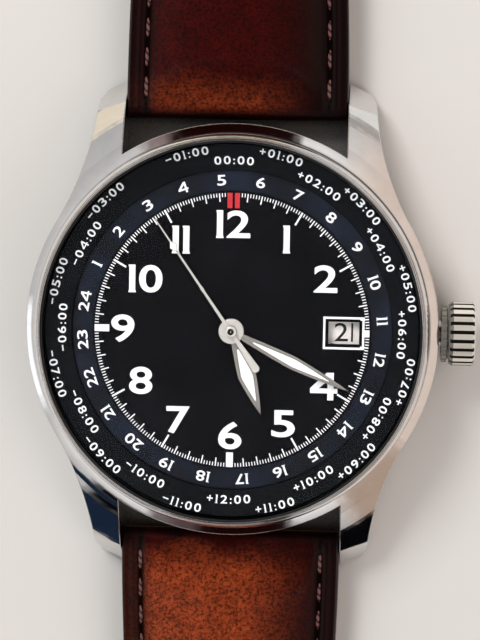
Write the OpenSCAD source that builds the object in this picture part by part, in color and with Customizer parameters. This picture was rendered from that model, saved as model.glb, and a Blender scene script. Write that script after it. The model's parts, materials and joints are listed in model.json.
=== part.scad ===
// GMT watch with a 24-hour ring, an automatic movement and a padded leather strap.
// The origin is the centre of the case back's outer face. +Z points out of the crystal,
// +Y to 12 o'clock and +X to the crown. The strap lies open. Sizes are in millimetres.

/* [Case] */
// Width of the polished shoulder from the bezel to the case's flank
shoulder_w = 0.9; // [0.7:0.05:1.4]
// Width of the bezel round the crystal
bezel_w = 0.85; // [0.6:0.05:1.3]
// Height of the bezel
bezel_h = 1.78; // [1.5:0.02:2.4]
// Reach of the lugs' tips past the case's flank
lug_len = 3.8; // [3.6:0.1:5]
// Gap between the two lugs of a pair, which is the strap's nominal width
lug_gap = 21; // [18:0.5:22]
// Thickness of a lug at its tip
lug_w = 2.6; // [2.5:0.05:3.6]
// Distance from the case's flank to the crease where a lug's top turns down
crease_w = 0.8; // [0.4:0.1:1.4]
// Slant of a lug's tip, seen from above, in degrees
lug_slant = 24; // [0:1:30]
// Length of the bevel at a lug's tip
lug_bevel = 1.3; // [0.6:0.1:1.6]
// Height of the lower edge of the case middle above the back's outer face
rim_z = 0.9; // [0.7:0.05:1.1]

/* [Case back] */
// Thickness of the case back at its window
back_t = 1.2; // [1.15:0.05:1.6]
// Width of the case back's flange outside its thread
back_flange_w = 1.1; // [0.9:0.05:1.3]
// Step from the movement's bore to the case back's thread
thread_step = 0.4; // [0.3:0.05:0.6]
// Visible diameter of the back window
window_d = 22.4; // [20:0.2:23]
// Thickness of the back window's glass
window_t = 0.8; // [0.5:0.05:0.85]
// Number of notches for the opening key
key_notches = 6; // [4:1:12]

/* [Crystal] */
// Height of the crystal's straight edge
crystal_edge = 1.3; // [1:0.05:1.8]
// Rise of the dome, inside and outside
crystal_dome = 1.45; // [1.2:0.05:2.2]

/* [Dial and rings] */
// Distance that the dial reaches past the main plate
dial_over = 0.2; // [0.15:0.01:0.25]
// Thickness of the dial
dial_t = 0.4; // [0.3:0.05:0.6]
// Distance of the date window's middle inside the main plate's edge
date_inset = 2.3; // [2.2:0.05:2.4]
// Width of the date window
date_w = 2.87; // [2.4:0.05:3]
// Height of the date window
date_h = 2.1; // [1.8:0.05:2.4]
// Width of the visible face of the 24-hour ring
ring_face_w = 2.0; // [1.8:0.05:2.4]
// Width of the offset ring under the crystal
offset_w = 2.65; // [2.4:0.05:3.2]
// Width of the hidden flange round the 24-hour ring
ring_flange = 0.4; // [0.3:0.02:0.5]
// Thickness of the 24-hour ring's toothed web
ring_t = 0.2; // [0.15:0.01:0.3]
// Height of the offset ring's inner edge above its seat
offset_inner_h = 0.45; // [0.35:0.05:0.6]
// Height from the offset ring's seat to the bezel's seat
rehaut_h = 0.85; // [0.75:0.05:1.2]
// Thickness of the date disc
date_t = 0.15; // [0.1:0.01:0.2]
// Thickness of the plate over the date disc
keeper_t = 0.12; // [0.1:0.01:0.2]

/* [Hands] */
// Length of the hour hand from the centre
hour_len = 8.3; // [7.5:0.1:9]
// Greatest width of the hour hand
hour_w = 1.3; // [1.1:0.05:1.8]
// Length of the minute hand from the centre
minute_len = 12.3; // [11.5:0.1:12.6]
// Greatest width of the minute hand
minute_w = 1.2; // [1:0.05:1.6]
// Length of the seconds hand from the centre
second_len = 12.7; // [12:0.1:12.9]
// Length of the seconds hand's tail
second_tail = 4.5; // [3.5:0.1:5]
// Thickness of the hour hand
hour_t = 0.15; // [0.1:0.01:0.2]
// Thickness of the minute hand
minute_t = 0.13; // [0.1:0.01:0.2]
// Thickness of the seconds hand
second_t = 0.1; // [0.08:0.01:0.15]
// Clearance between the dial and the hour hand
hand_lift = 0.35; // [0.3:0.05:0.5]
// Clearance between one hand and the next
hand_gap = 0.2; // [0.15:0.01:0.25]
// Angle of the hour hand, clockwise from 12
hour_at = 159.7; // [0:0.1:360]
// Angle of the minute hand, clockwise from 12
minute_at = 115.8; // [0:0.1:360]
// Angle of the seconds hand, clockwise from 12
second_at = 325.2; // [0:0.1:360]

/* [Crown] */
// Diameter of the crown
crown_d = 6.0; // [5.4:0.1:7]
// Length of the crown
crown_len = 3.15; // [2.6:0.05:3.6]
// Number of flutes round the crown
crown_flutes = 22; // [16:1:30]
// Height of the stem's axis above the case back's outer face
stem_z = 4.6; // [4.5:0.05:4.65]
// Diameter of the winding stem
stem_d = 0.9; // [0.8:0.02:0.96]
// Outer diameter of the crown tube
tube_d = 2.58; // [2.3:0.02:2.6]

/* [Movement] */
// Diameter of the main plate
plate_d = 25.6; // [25.4:0.02:25.7]
// Thickness of the main plate
plate_t = 1.35; // [1.3:0.05:1.5]
// Distance from the main plate's edge to the bridges' edge
bridge_inset = 2.2; // [2.1:0.05:2.6]
// Thickness of the bridges
bridge_t = 0.75; // [0.7:0.02:0.9]
// Height of the space for the wheels between the bridges and the main plate
train_h = 1.2; // [1.15:0.02:1.4]
// Distance from the main plate's edge to the rotor's edge
rotor_inset = 0.5; // [0.4:0.05:1]
// Thickness of the rotor's web
rotor_t = 0.4; // [0.3:0.02:0.5]
// Thickness of the rotor's heavy rim
rotor_rim_t = 1.2; // [0.9:0.05:1.25]
// Clearance above and below the rotor
rotor_gap = 0.2; // [0.15:0.01:0.3]
// Outer diameter of the balance wheel
balance_d = 7.7; // [7:0.1:7.9]
// Number of turns of the hairspring
hairspring_turns = 5; // [3:1:5]
// Number of turns of the mainspring
mainspring_turns = 6; // [4:1:8]

/* [Strap] */
// Length of the strap half at 12 o'clock, from its spring bar to the buckle's bar
short_len = 75; // [70:1:85]
// Length of the strap half at 6 o'clock, from its spring bar to its tip
long_len = 116; // [105:1:125]
// Width of the strap from the taper's end on
tail_w = 18; // [16:0.5:20]
// Thickness of the strap's edge at the lugs
edge_t = 2.9; // [2.4:0.1:3.1]
// Thickness of the strap past the padding
tail_t = 2.3; // [1.9:0.1:2.6]
// Height of the padding over the edge at the lugs
pad_h = 1.4; // [0.8:0.1:1.8]
// Width of the flat margin outside the padding
margin_w = 1.9; // [1.4:0.1:2.6]
// Number of buckle holes
strap_holes = 7; // [5:1:8]
// Spacing of the buckle holes
hole_pitch = 6.5; // [5.5:0.1:7]

/* [Buckle] */
// Width over the buckle's arms
buckle_w = 22; // [21:0.1:24]
// Length of the buckle from its bar to its front edge
buckle_len = 10.6; // [9.5:0.1:12]
// Thickness of the buckle
buckle_t = 2.2; // [1.8:0.1:2.6]
// Distance from the buckle's bar to the middle of the fixed keeper
keeper_inset = 8.5; // [7.5:0.1:11]
// Free length of strap between the two keepers
keeper_spacing = 4; // [2:0.5:20]
// Width of a keeper along the strap
keeper_w = 5; // [4:0.1:7]

/* [Hidden] */
$fn = 64;
e = 0.02;
TINY = 0.01;

// Clearances: press is between pieces that stay together, run between turning ones
press = 0.01;
run = 0.04;
part_gap = 0.15;

// Radii, stacked from the movement outwards
plate_r = plate_d / 2;
bridge_r = plate_r - bridge_inset;
rotor_r = plate_r - rotor_inset;
dial_r = plate_r + dial_over;
date_r = plate_r - date_inset;
ring_face_r = dial_r + ring_face_w;
ring_r = ring_face_r + ring_flange;
ring_bore_r = ring_r + 0.05;
crystal_r = ring_face_r + offset_w;
bezel_r = crystal_r + bezel_w;
case_r = bezel_r + shoulder_w;
crease_r = case_r + crease_w;
collar_r = ring_bore_r + thread_step;
thread_r = collar_r + 0.05;
back_r = thread_r + back_flange_w;
stem_r = stem_d / 2;
tube_r = tube_d / 2;

// Heights, stacked from the case back to the crystal
z_rotor = back_t + rotor_gap;
z_bridge = z_rotor + rotor_t + rotor_gap;
z_train = z_bridge + bridge_t;
z_plate = z_train + train_h;
z_front = z_plate + plate_t;
z_date = z_front + 0.1;
z_keeper = z_date + date_t + 0.06;
z_ring = z_keeper + keeper_t + 0.06;
z_dial = z_ring + ring_t + 0.12;
z_face = z_dial + dial_t;
z_hour = z_face + hand_lift;
z_minute = z_hour + hour_t + hand_gap;
z_second = z_minute + minute_t + hand_gap;
z_holder = z_ring - 0.09;
z_ledge = z_ring + ring_t + 0.16;
z_top = z_ledge + rehaut_h;
flange_t = 0.3;
z_crystal = z_top + flange_t;
z_collar = z_plate - 0.75;
z_crease = z_top - 0.75;
rehaut_r = crystal_r - 0.35;
gasket_t = 0.2;

// Motion work: one module for the ring drive and one for each stage below it
ring_teeth = 96;
ring_gear_r = dial_r - 0.4;
ring_module = 2 * ring_gear_r / ring_teeth;
hour_ring_teeth = 48;
idler_teeth = 24;
idler_at = 135;
idler_r = (hour_ring_teeth + idler_teeth) * ring_module / 2;
minute_module = 0.125;
hour_module = 0.1;
cannon_teeth = 12;
minute_wheel_teeth = 36;
minute_pinion_teeth = 12;
hour_teeth = 48;
minute_wheel_r = (cannon_teeth + minute_wheel_teeth) * minute_module / 2;
minute_wheel_at = 200;

// Going train, from the barrel to the escape wheel
barrel_module = 0.12;
barrel_teeth = 84;
second_pinion_teeth = 12;
second_teeth = 80;
third_pinion_teeth = 10;
third_teeth = 60;
fourth_pinion_teeth = 8;
fourth_teeth = 72;
escape_pinion_teeth = 6;
train_module = 0.1;
escape_module = 0.08;
escape_teeth = 20;
escape_r = 1.95;

// Places of the movement's axes, seen from the dial's side
third_at = 196;
escape_at = -45;
barrel_rim = 6.03;
barrel_xy = polar(plate_r - barrel_rim, 77.2);
third_xy = polar((fourth_pinion_teeth + third_teeth) * train_module / 2, third_at);
second_xy = meet(third_xy, (second_teeth + third_pinion_teeth) * train_module / 2,
                 barrel_xy, (barrel_teeth + second_pinion_teeth) * barrel_module / 2);
escape_xy = polar((fourth_teeth + escape_pinion_teeth) * escape_module / 2, escape_at);
pallet_way = 2.35;
balance_way = 5.06;
balance_xy = escape_xy + polar(balance_way, -53.9);
lever_dir = unit(balance_xy - escape_xy);
pallet_xy = escape_xy + pallet_way * lever_dir;
lever_side = [-lever_dir[1], lever_dir[0]];

// Levels of the wheels above the bridges' inner face
z_second_wheel = z_train + 0.1;
z_fourth_wheel = z_train + 0.4;
z_third_wheel = z_train + 0.65;
z_escape = z_train + 0.65;
z_barrel = z_train + 0.6;
z_barrel_teeth = z_train + 0.75;
wheel_t = 0.15;
barrel_h = 0.95;
barrel_in_r = 4.35;
barrel_drum_r = 4.6;
arbor_r = 0.18;
pivot_r = 0.1;
jewel_r = 0.55;
jewel_t = 0.4;
tube_in_r = 0.18;
tube_out_r = 0.34;
cannon_in_r = tube_out_r + run;
cannon_out_r = 0.54;
hour_in_r = cannon_out_r + run;
hour_out_r = 0.84;
hub_r = 1.17;
pillar_r = 0.9;
screw_r = 0.35;
screw_head_r = 0.65;
bearing_r = 1.25;

// Lugs and spring bars
lug_tip_y = case_r + lug_len;
lug_in_x = lug_gap / 2;
lug_out_x = lug_in_x + lug_w;
flare_y = lug_tip_y - 0.4;
flare_r = (lug_out_x * lug_out_x + flare_y * flare_y - case_r * case_r) / (2 * (case_r - lug_out_x));
flare_x = lug_out_x + flare_r;
flare_touch_y = flare_y * case_r / (case_r + flare_r);
bar_y = lug_tip_y - 2.0;
bar_z = 2.3;
bar_r = 0.7;
bar_tip_r = 0.38;

// Strap: the eye is the rounded end round the spring bar
eye_r = 1.55;
strap_w = lug_gap - 0.3;
taper_len = 38;
pad_len = 46;
short_under = 1.1;
long_under = 0.1;
tip_len = 9;
hole_r = 0.95;
hole_first = 26;
buckle_y = bar_y + short_len;
buckle_z = short_under + tail_t / 2;
buckle_bar_r = 0.6;
buckle_eye_r = tail_t / 2;
slot_w = 3.2;
slot_len = 4.4;
tongue_w = 2.0;
keeper_wall = 0.9;
keeper_play = 0.25;

// A point at a radius and an angle counter-clockwise from the crown
function polar(r, a) = r * [cos(a), sin(a)];
function unit(v) = v / norm(v);
function clock(a) = 90 - a;

// The point at distance ra from a and rb from b, on the left of the way from a to b
function meet(a, ra, b, rb) =
  let (d = norm(b - a), along = (ra * ra - rb * rb + d * d) / (2 * d),
       side = sqrt(ra * ra - along * along), u = unit(b - a))
  a + along * u + side * [-u[1], u[0]];

// Points from p to q that bow sideways by the given height, to the left of the way
function bow(p, q, height, n = 8) =
  let (u = unit(q - p), side = [-u[1], u[0]])
  [for (i = [0:n]) let (t = i / n) p + t * (q - p) + 4 * height * t * (1 - t) * side];

// The turn that sets a gear in mesh with another one that lies at an angle from it
function mesh_turn(at, turn, teeth, own_teeth) =
  at + 180 + ((at - turn) * teeth / 360 - 0.5) * 360 / own_teeth;

// A gear's tooth as shares of the pitch, each with its side of the pitch circle
TOOTH = [[-0.29, -1], [-0.13, 1], [0.13, 1], [0.29, -1]];
ADDENDUM = 0.85;
DEDENDUM = 1.15;

function gear_points(teeth, m, turn, side) =
  [for (i = [0:teeth - 1]) for (k = TOOTH)
    polar(teeth * m / 2 + side * m * (k[1] > 0 ? ADDENDUM : -DEDENDUM),
          turn + (i + k[0]) * 360 / teeth)];

// A window between the spokes of a wheel
function window_points(r1, r2, a1, a2, spoke_w) =
  let (d1 = asin(spoke_w / 2 / r1), d2 = asin(spoke_w / 2 / r2))
  concat([for (i = [0:6]) polar(r2, a1 + d2 + (a2 - a1 - 2 * d2) * i / 6)],
         [for (i = [6:-1:0]) polar(r1, a1 + d1 + (a2 - a1 - 2 * d1) * i / 6)]);

// A flat spiral strip from one radius to another
function spiral_points(r1, r2, turns, w) =
  let (n = turns * 24)
  concat([for (i = [0:n]) polar(r1 + (r2 - r1) * i / n + w / 2, 360 * turns * i / n)],
         [for (i = [n:-1:0]) polar(r1 + (r2 - r1) * i / n - w / 2, 360 * turns * i / n)]);

// Solids that repeat
module at_xy(xy, z = 0) {
  translate([xy[0], xy[1], z]) children();
}

module disc(r, z1, z2) {
  translate([0, 0, z1]) cylinder(r = r, h = z2 - z1);
}

module washer(r1, r2, z1, z2) {
  difference() {
    disc(r2, z1, z2);
    disc(r1, z1 - 1, z2 + 1);
  }
}

module gear(teeth, m, t, turn = 0) {
  linear_extrude(t) polygon(gear_points(teeth, m, turn, 1));
}

module spoked_gear(teeth, m, t, turn, spokes = 4, rim = 0.45, hub = 0.5, spoke_w = 0.32) {
  difference() {
    gear(teeth, m, t, turn);
    translate([0, 0, -1]) linear_extrude(t + 2) for (k = [0:spokes - 1])
      polygon(window_points(hub, teeth * m / 2 - rim, k * 360 / spokes,
                            (k + 1) * 360 / spokes, spoke_w));
  }
}

// An arbor between the bridges and the main plate, with a pivot at each end
module arbor(xy) {
  at_xy(xy) {
    disc(arbor_r, z_train + run, z_plate - run);
    disc(pivot_r, z_train - jewel_t, z_train + run + e);
    disc(pivot_r, z_plate - run - e, z_plate + jewel_t);
  }
}

module along_x(r, x1, x2) {
  translate([x1, 0, stem_z]) rotate([0, 90, 0]) cylinder(r = r, h = x2 - x1);
}

// Case

// Height of the polished shoulder at a radius
function shoulder_z(r) = z_top - (z_top - z_crease) * pow((r - bezel_r) / (crease_r - bezel_r), 1.4);

SHOULDER_STEPS = 10;
function shoulder_points(r2) =
  [for (i = [0:SHOULDER_STEPS]) let (r = bezel_r + (r2 - bezel_r) * i / SHOULDER_STEPS) [r, shoulder_z(r)]];

module case_body() {
  rotate_extrude($fn = 96) polygon(concat(
    [[0, rim_z], [case_r - 2.2, rim_z]],
    bow([case_r - 2.2, rim_z], [case_r, rim_z + 1.9], -0.25, 10),
    [for (i = [SHOULDER_STEPS:-1:0]) shoulder_points(case_r)[i]],
    [[0, z_top]]));
}

// The rounded surface that the lugs' tops follow, turned about the watch's axis
module lug_top() {
  rotate_extrude($fn = 96) polygon(concat(
    [[0, -1]],
    [[crease_r + 8, -1]],
    bow([crease_r + 8, -1], [crease_r, z_crease], -0.75, 26),
    [for (i = [SHOULDER_STEPS:-1:0]) shoulder_points(crease_r)[i]],
    [[0, z_top]]));
}

module lug_plan() {
  corner = 0.6;
  slant_y = (lug_out_x - lug_in_x) * tan(lug_slant);
  difference() {
    translate([lug_in_x, flare_touch_y]) square([case_r - lug_in_x, lug_tip_y - flare_touch_y]);
    translate([flare_x, flare_y]) circle(r = flare_r, $fn = 200);
    polygon([[lug_in_x, lug_tip_y], [lug_out_x, lug_tip_y - slant_y], [case_r + 1, lug_tip_y - slant_y - 1],
             [case_r + 1, lug_tip_y + 1], [lug_in_x - 1, lug_tip_y + 1]]);
    polygon([[lug_out_x - corner, lug_tip_y - slant_y + corner * tan(lug_slant)],
             [lug_out_x, lug_tip_y - slant_y - corner], [case_r, lug_tip_y - slant_y - corner], [case_r, lug_tip_y]]);
  }
}

module lug() {
  bevel_h = 2.3;
  difference() {
    intersection() {
      translate([0, 0, -1]) linear_extrude(z_top + 2) lug_plan();
      lug_top();
      rotate([90, 0, 90]) linear_extrude(case_r + 4) polygon([
        [0, rim_z], [case_r - 4, rim_z], [lug_tip_y - 0.6, 0.3], [lug_tip_y, rim_z], [lug_tip_y, z_top + 2],
        [0, z_top + 2]]);
    }
    translate([lug_in_x, lug_tip_y, rim_z]) rotate(-lug_slant) rotate([atan(lug_bevel / bevel_h), 0, 0])
      translate([-5, 0, -0.4]) cube([15, 6, 12]);
  }
}

module case_middle() {
  color("silver") difference() {
    union() {
      case_body();
      for (x = [0, 1]) for (y = [0, 1]) mirror([x, 0, 0]) mirror([0, y, 0]) lug();
    }
    disc(rehaut_r + 0.05, z_ledge, z_top + 1);
    disc(ring_bore_r, 0, z_ledge + e);
    disc(thread_r, 0, z_collar);
    back_gasket_groove();
    along_x(tube_r + press, 0, case_r + 1);
    for (y = [-bar_y, bar_y]) translate([-lug_in_x - 1, y, bar_z]) rotate([0, 90, 0])
      cylinder(r = bar_tip_r + 0.03, h = lug_gap + 2);
  }
}

module crown_tube() {
  color("silver") difference() {
    along_x(tube_r, ring_bore_r + 0.1, case_r + 1.9);
    along_x(stem_r + 0.12, 0, case_r + 3);
  }
}

module bezel() {
  lip = 0.18;
  top = z_top + bezel_h;
  inner = crystal_r + gasket_t + press;
  color("gainsboro") rotate_extrude($fn = 96) polygon(concat(
    [[inner, z_top], [bezel_r, z_top], [bezel_r, top - 0.85]],
    bow([bezel_r, top - 0.85], [inner + lip + 0.12, top - 0.14], -0.08, 10),
    [[inner + lip + 0.06, top - 0.14], [inner + lip, top], [inner, top]]));
}

module crystal_gasket() {
  color("#111111") washer(crystal_r, crystal_r + gasket_t, z_top, z_crystal + crystal_edge - 0.05);
}

module crystal() {
  rim_r = rehaut_r - 0.2;
  color("lightcyan", 0.3) rotate_extrude($fn = 96) polygon(concat(
    [[0, z_crystal + crystal_dome]],
    [for (i = [1:12]) let (r = rim_r * i / 12) [r, z_crystal + crystal_dome * (1 - pow(i / 12, 2))]],
    [[crystal_r - press, z_crystal], [crystal_r - press, z_crystal + crystal_edge]],
    [for (i = [12:-1:0]) let (r = (crystal_r - 0.15) * i / 12)
      [r, z_crystal + crystal_edge + 0.05 + crystal_dome * (1 - pow(i / 12, 2))]]));
}

// Dial side

module offset_ring() {
  flange_r = crystal_r - 0.03;
  inner_r = ring_face_r + 0.07;
  color("#15151a") rotate_extrude($fn = 96) polygon([
    [inner_r, z_ledge], [rehaut_r, z_ledge], [rehaut_r, z_top], [flange_r, z_top],
    [flange_r, z_crystal], [flange_r - 0.17, z_crystal], [inner_r, z_ledge + offset_inner_h]]);
}

FEET_AT = [75, 255];
foot_orbit = 7.6;
foot_r = 0.35;

module dial() {
  window_step = 0.3;
  color("#101010") {
    difference() {
      disc(dial_r, z_dial, z_face);
      disc(hour_out_r + 0.15, z_dial - 1, z_face + 1);
      translate([date_r - date_w / 2, -date_h / 2, z_dial - 1]) cube([date_w, date_h, 3]);
      translate([date_r - date_w / 2 - window_step, -date_h / 2 - window_step, z_face - 0.12])
        cube([date_w + 2 * window_step, date_h + 2 * window_step, 1]);
    }
    for (a = FEET_AT) at_xy(polar(foot_orbit, a)) disc(foot_r, z_front - 0.5, z_dial + e);
  }
}

module ring_24h() {
  wall = dial_r + 0.08;
  raised = z_ledge + 0.15;
  turn = idler_turn() * 0 + ring_turn();
  color("#14161c") difference() {
    union() {
      disc(ring_r, z_ring, z_ring + ring_t);
      disc(ring_face_r, z_ring, raised);
    }
    disc(wall, z_ring + ring_t, raised + 1);
    translate([0, 0, z_ring - 1]) linear_extrude(ring_t + 1 + e)
      polygon(gear_points(ring_teeth, ring_module, turn, -1));
  }
}

function hour_ring_turn() = idler_at;
function idler_turn() = mesh_turn(idler_at, hour_ring_turn(), hour_ring_teeth, idler_teeth);
function ring_turn() = idler_at + (0.5 - (idler_at - idler_turn()) * idler_teeth / 360) * 360 / ring_teeth;

idler_post_r = 0.5;

module ring_idler() {
  color("goldenrod") at_xy(polar(idler_r, idler_at), z_ring) difference() {
    spoked_gear(idler_teeth, ring_module, ring_t - 0.03, idler_turn(), 5, 0.75, 1.0, 0.5);
    translate([0, 0, -1]) cylinder(r = idler_post_r + run, h = 3);
  }
}

date_teeth = 31;
date_in_r = date_r - 1.6;
date_out_r = plate_r - 0.6;

module date_disc() {
  color("whitesmoke") difference() {
    disc(date_out_r, z_date, z_date + date_t);
    translate([0, 0, z_date - 1]) linear_extrude(3) intersection() {
      polygon(gear_points(date_teeth, 0.16, 0, -1) * (2 * date_in_r / (date_teeth * 0.16)));
      circle(r = date_r - date_w / 2 - 0.1);
    }
  }
}

module date_keeper_plate() {
  top = z_keeper + keeper_t;
  color("silver") {
    difference() {
      disc(date_out_r - 0.3, z_keeper, top);
      disc(hour_teeth * hour_module / 2 + 0.35, z_keeper - 1, top + 1);
      for (a = FEET_AT) at_xy(polar(foot_orbit, a)) disc(foot_r + 0.1, z_keeper - 1, top + 1);
      translate([date_r - date_w / 2 - 0.4, -date_h / 2 - 0.4, z_keeper - 1])
        cube([date_w + 3, date_h + 0.8, 3]);
    }
    at_xy(polar(idler_r, idler_at)) disc(idler_post_r, top - e, z_ring + ring_t + 0.06);
  }
}

// Hands: outlines along +X, then turned to their hour

// A leaf outline from the hub to the tip, widest a little past the middle
function leaf_points(len, w, root_w, start) =
  let (mid = start + 0.5 * (len - start))
  concat(bow([start, -root_w / 2], [mid, -w / 2], -0.04, 5),
         bow([mid, -w / 2], [len, -0.03], -0.06, 6),
         bow([len, 0.03], [mid, w / 2], -0.06, 6),
         bow([mid, w / 2], [start, root_w / 2], -0.04, 5));

module hand_blank(len, w, root_w, t, bore) {
  difference() {
    union() {
      linear_extrude(t) polygon(leaf_points(len, w, root_w, 0.6));
      cylinder(r = hub_r, h = t);
    }
    translate([0, 0, -1]) cylinder(r = bore, h = t + 2);
    translate([0, 0, -1]) linear_extrude(t + 2) lume_plan(len, w, 0);
  }
}

// The slot that the luminous filling takes, or the filling a little smaller
module lume_plan(len, w, gap) {
  a = 0.26 * len + gap;
  b = 0.86 * len - 3 * gap;
  mid = 0.53 * len;
  half = w / 2 - 0.27 - gap;
  polygon([[a, -half * 0.35], [mid, -half], [b, -0.04], [b, 0.04], [mid, half], [a, half * 0.35]]);
}

module hour_hand() {
  color("silver") translate([0, 0, z_hour]) rotate(clock(hour_at))
    hand_blank(hour_len, hour_w, 0.75, hour_t, hour_out_r + press);
}

module hour_lume() {
  color("ivory") translate([0, 0, z_hour]) rotate(clock(hour_at))
    linear_extrude(hour_t) lume_plan(hour_len, hour_w, press);
}

module minute_hand() {
  color("silver") translate([0, 0, z_minute]) rotate(clock(minute_at))
    hand_blank(minute_len, minute_w, 0.7, minute_t, cannon_out_r + press);
}

module minute_lume() {
  color("ivory") translate([0, 0, z_minute]) rotate(clock(minute_at))
    linear_extrude(minute_t) lume_plan(minute_len, minute_w, press);
}

second_bore_r = tube_in_r - run;

module seconds_hand() {
  lume_r = 0.755 * second_len;
  lume_l = 0.5;
  lume_h = 0.38;
  tail_r = 0.36;
  half = concat(
    [[-second_tail + tail_r, 0.36], [-1.2, 0.2], [0, 0.16], [4.5, 0.11], [4.8, 0.16], [5.1, 0.1]],
    [[lume_r - lume_l, 0.09], [lume_r, lume_h], [lume_r + lume_l, 0.08], [second_len, 0.04]]);
  color("silver") translate([0, 0, z_second]) rotate(clock(second_at)) difference() {
    union() {
      linear_extrude(second_t) polygon(concat(half, [for (i = [len(half) - 1:-1:0]) [half[i][0], -half[i][1]]]));
      translate([-second_tail + tail_r, 0, 0]) cylinder(r = tail_r, h = second_t);
      translate([0, 0, -0.1]) cylinder(r = 0.52, h = second_t + 0.3);
    }
    translate([0, 0, -1]) cylinder(r = second_bore_r + press, h = 3);
  }
}

// Motion work

z_recess = z_plate + 0.7;
z_minute_wheel = z_recess + 0.1;
z_hour_gear = z_keeper - 0.32;

function cannon_turn() = minute_wheel_at;
function minute_wheel_turn() = mesh_turn(minute_wheel_at, cannon_turn(), cannon_teeth, minute_wheel_teeth);
function hour_turn() = minute_wheel_at;
function minute_pinion_turn() = mesh_turn(minute_wheel_at, hour_turn(), hour_teeth, minute_pinion_teeth);

module hour_wheel() {
  color("gold") difference() {
    union() {
      translate([0, 0, z_hour_gear]) gear(hour_teeth, hour_module, 0.18, hour_turn());
      disc(hour_out_r, z_hour_gear, z_hour + hour_t);
      translate([0, 0, z_ring]) spoked_gear(hour_ring_teeth, ring_module, ring_t - 0.03, hour_ring_turn(), 5, 0.8, 1.4, 0.6);
    }
    disc(hour_in_r, z_hour_gear - 1, z_hour + hour_t + 1);
  }
}

module cannon_pinion() {
  color("silver") difference() {
    union() {
      translate([0, 0, z_recess + 0.05]) gear(cannon_teeth, minute_module, 0.3, cannon_turn());
      disc(cannon_out_r, z_recess + 0.05, z_minute + minute_t);
    }
    disc(cannon_in_r, z_recess - 1, z_minute + 2);
  }
}

minute_post_r = 0.25;

module minute_wheel() {
  color("gold") at_xy(polar(minute_wheel_r, minute_wheel_at)) difference() {
    union() {
      translate([0, 0, z_minute_wheel]) spoked_gear(minute_wheel_teeth, minute_module, wheel_t, minute_wheel_turn(), 4, 0.5, 0.75, 0.4);
      translate([0, 0, z_minute_wheel]) gear(minute_pinion_teeth, hour_module, z_hour_gear + 0.18 - z_minute_wheel, minute_pinion_turn());
    }
    disc(minute_post_r + run, z_recess - 1, z_keeper + 1);
  }
}

// Going train

function third_wheel_turn() = third_at;
function fourth_pinion_turn() = mesh_turn(third_at + 180, third_wheel_turn(), third_teeth, fourth_pinion_teeth);
function angle_of(v) = atan2(v[1], v[0]);

module fourth_wheel() {
  color("gold") {
    translate([0, 0, z_fourth_wheel]) spoked_gear(fourth_teeth, escape_module, 0.12, escape_at);
    translate([0, 0, z_fourth_wheel]) gear(fourth_pinion_teeth, train_module, z_third_wheel + wheel_t + 0.05 - z_fourth_wheel, fourth_pinion_turn());
    disc(pivot_r, z_train - jewel_t, z_train + run + e);
    disc(arbor_r, z_train + run, z_plate - run);
    disc(second_bore_r, z_plate - run - e, z_second + second_t + 0.1);
  }
}

module third_wheel() {
  at = angle_of(second_xy - third_xy);
  color("gold") {
    arbor(third_xy);
    at_xy(third_xy, z_third_wheel) spoked_gear(third_teeth, train_module, wheel_t, third_wheel_turn());
    at_xy(third_xy, z_train + run) gear(third_pinion_teeth, train_module, 0.3, mesh_turn(at + 180, at + 180, second_teeth, third_pinion_teeth));
  }
}

module second_wheel() {
  at = angle_of(second_xy - third_xy);
  down = angle_of(second_xy - barrel_xy);
  color("gold") {
    arbor(second_xy);
    at_xy(second_xy, z_second_wheel) spoked_gear(second_teeth, train_module, wheel_t, at + 180);
    at_xy(second_xy, z_barrel_teeth - 0.05) gear(second_pinion_teeth, barrel_module, 0.4, mesh_turn(down, down, barrel_teeth, second_pinion_teeth));
  }
}

barrel_arbor_r = 0.6;

module barrel() {
  floor_t = 0.15;
  down = angle_of(second_xy - barrel_xy);
  color("gold") at_xy(barrel_xy) difference() {
    union() {
      disc(barrel_drum_r, z_barrel, z_barrel + barrel_h);
      translate([0, 0, z_barrel_teeth]) gear(barrel_teeth, barrel_module, 0.3, down);
    }
    disc(barrel_in_r, z_barrel - 1, z_barrel + barrel_h - floor_t);
    disc(barrel_arbor_r + run, z_barrel, z_barrel + barrel_h + 1);
  }
}

cover_t = 0.12;

module barrel_cover() {
  color("gold") at_xy(barrel_xy)
    washer(barrel_arbor_r + run, barrel_in_r - press, z_barrel, z_barrel + cover_t);
}

module barrel_arbor() {
  color("silver") at_xy(barrel_xy) {
    disc(barrel_arbor_r, z_train - 0.1, z_barrel + barrel_h);
    disc(0.5, z_bridge + 0.35, z_train);
    disc(0.4, z_barrel + barrel_h - e, z_barrel + barrel_h + 0.25);
    disc(1.0, z_barrel + cover_t + run, z_barrel + barrel_h - 0.15 - run);
  }
}

module mainspring() {
  h = barrel_h - 0.15 - cover_t - 4 * run;
  color("steelblue") at_xy(barrel_xy, z_barrel + cover_t + 2 * run) linear_extrude(h)
    polygon(spiral_points(1.12, barrel_in_r - 0.12, mainspring_turns, 0.1));
}

ratchet_teeth = 48;
ratchet_module = 0.14;

module ratchet_wheel() {
  color("silver") at_xy(barrel_xy, z_bridge + 0.05) difference() {
    gear(ratchet_teeth, ratchet_module, 0.25, 0);
    translate([0, 0, 0.1]) cylinder(r = 0.5 + press, h = 1);
  }
}

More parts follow.
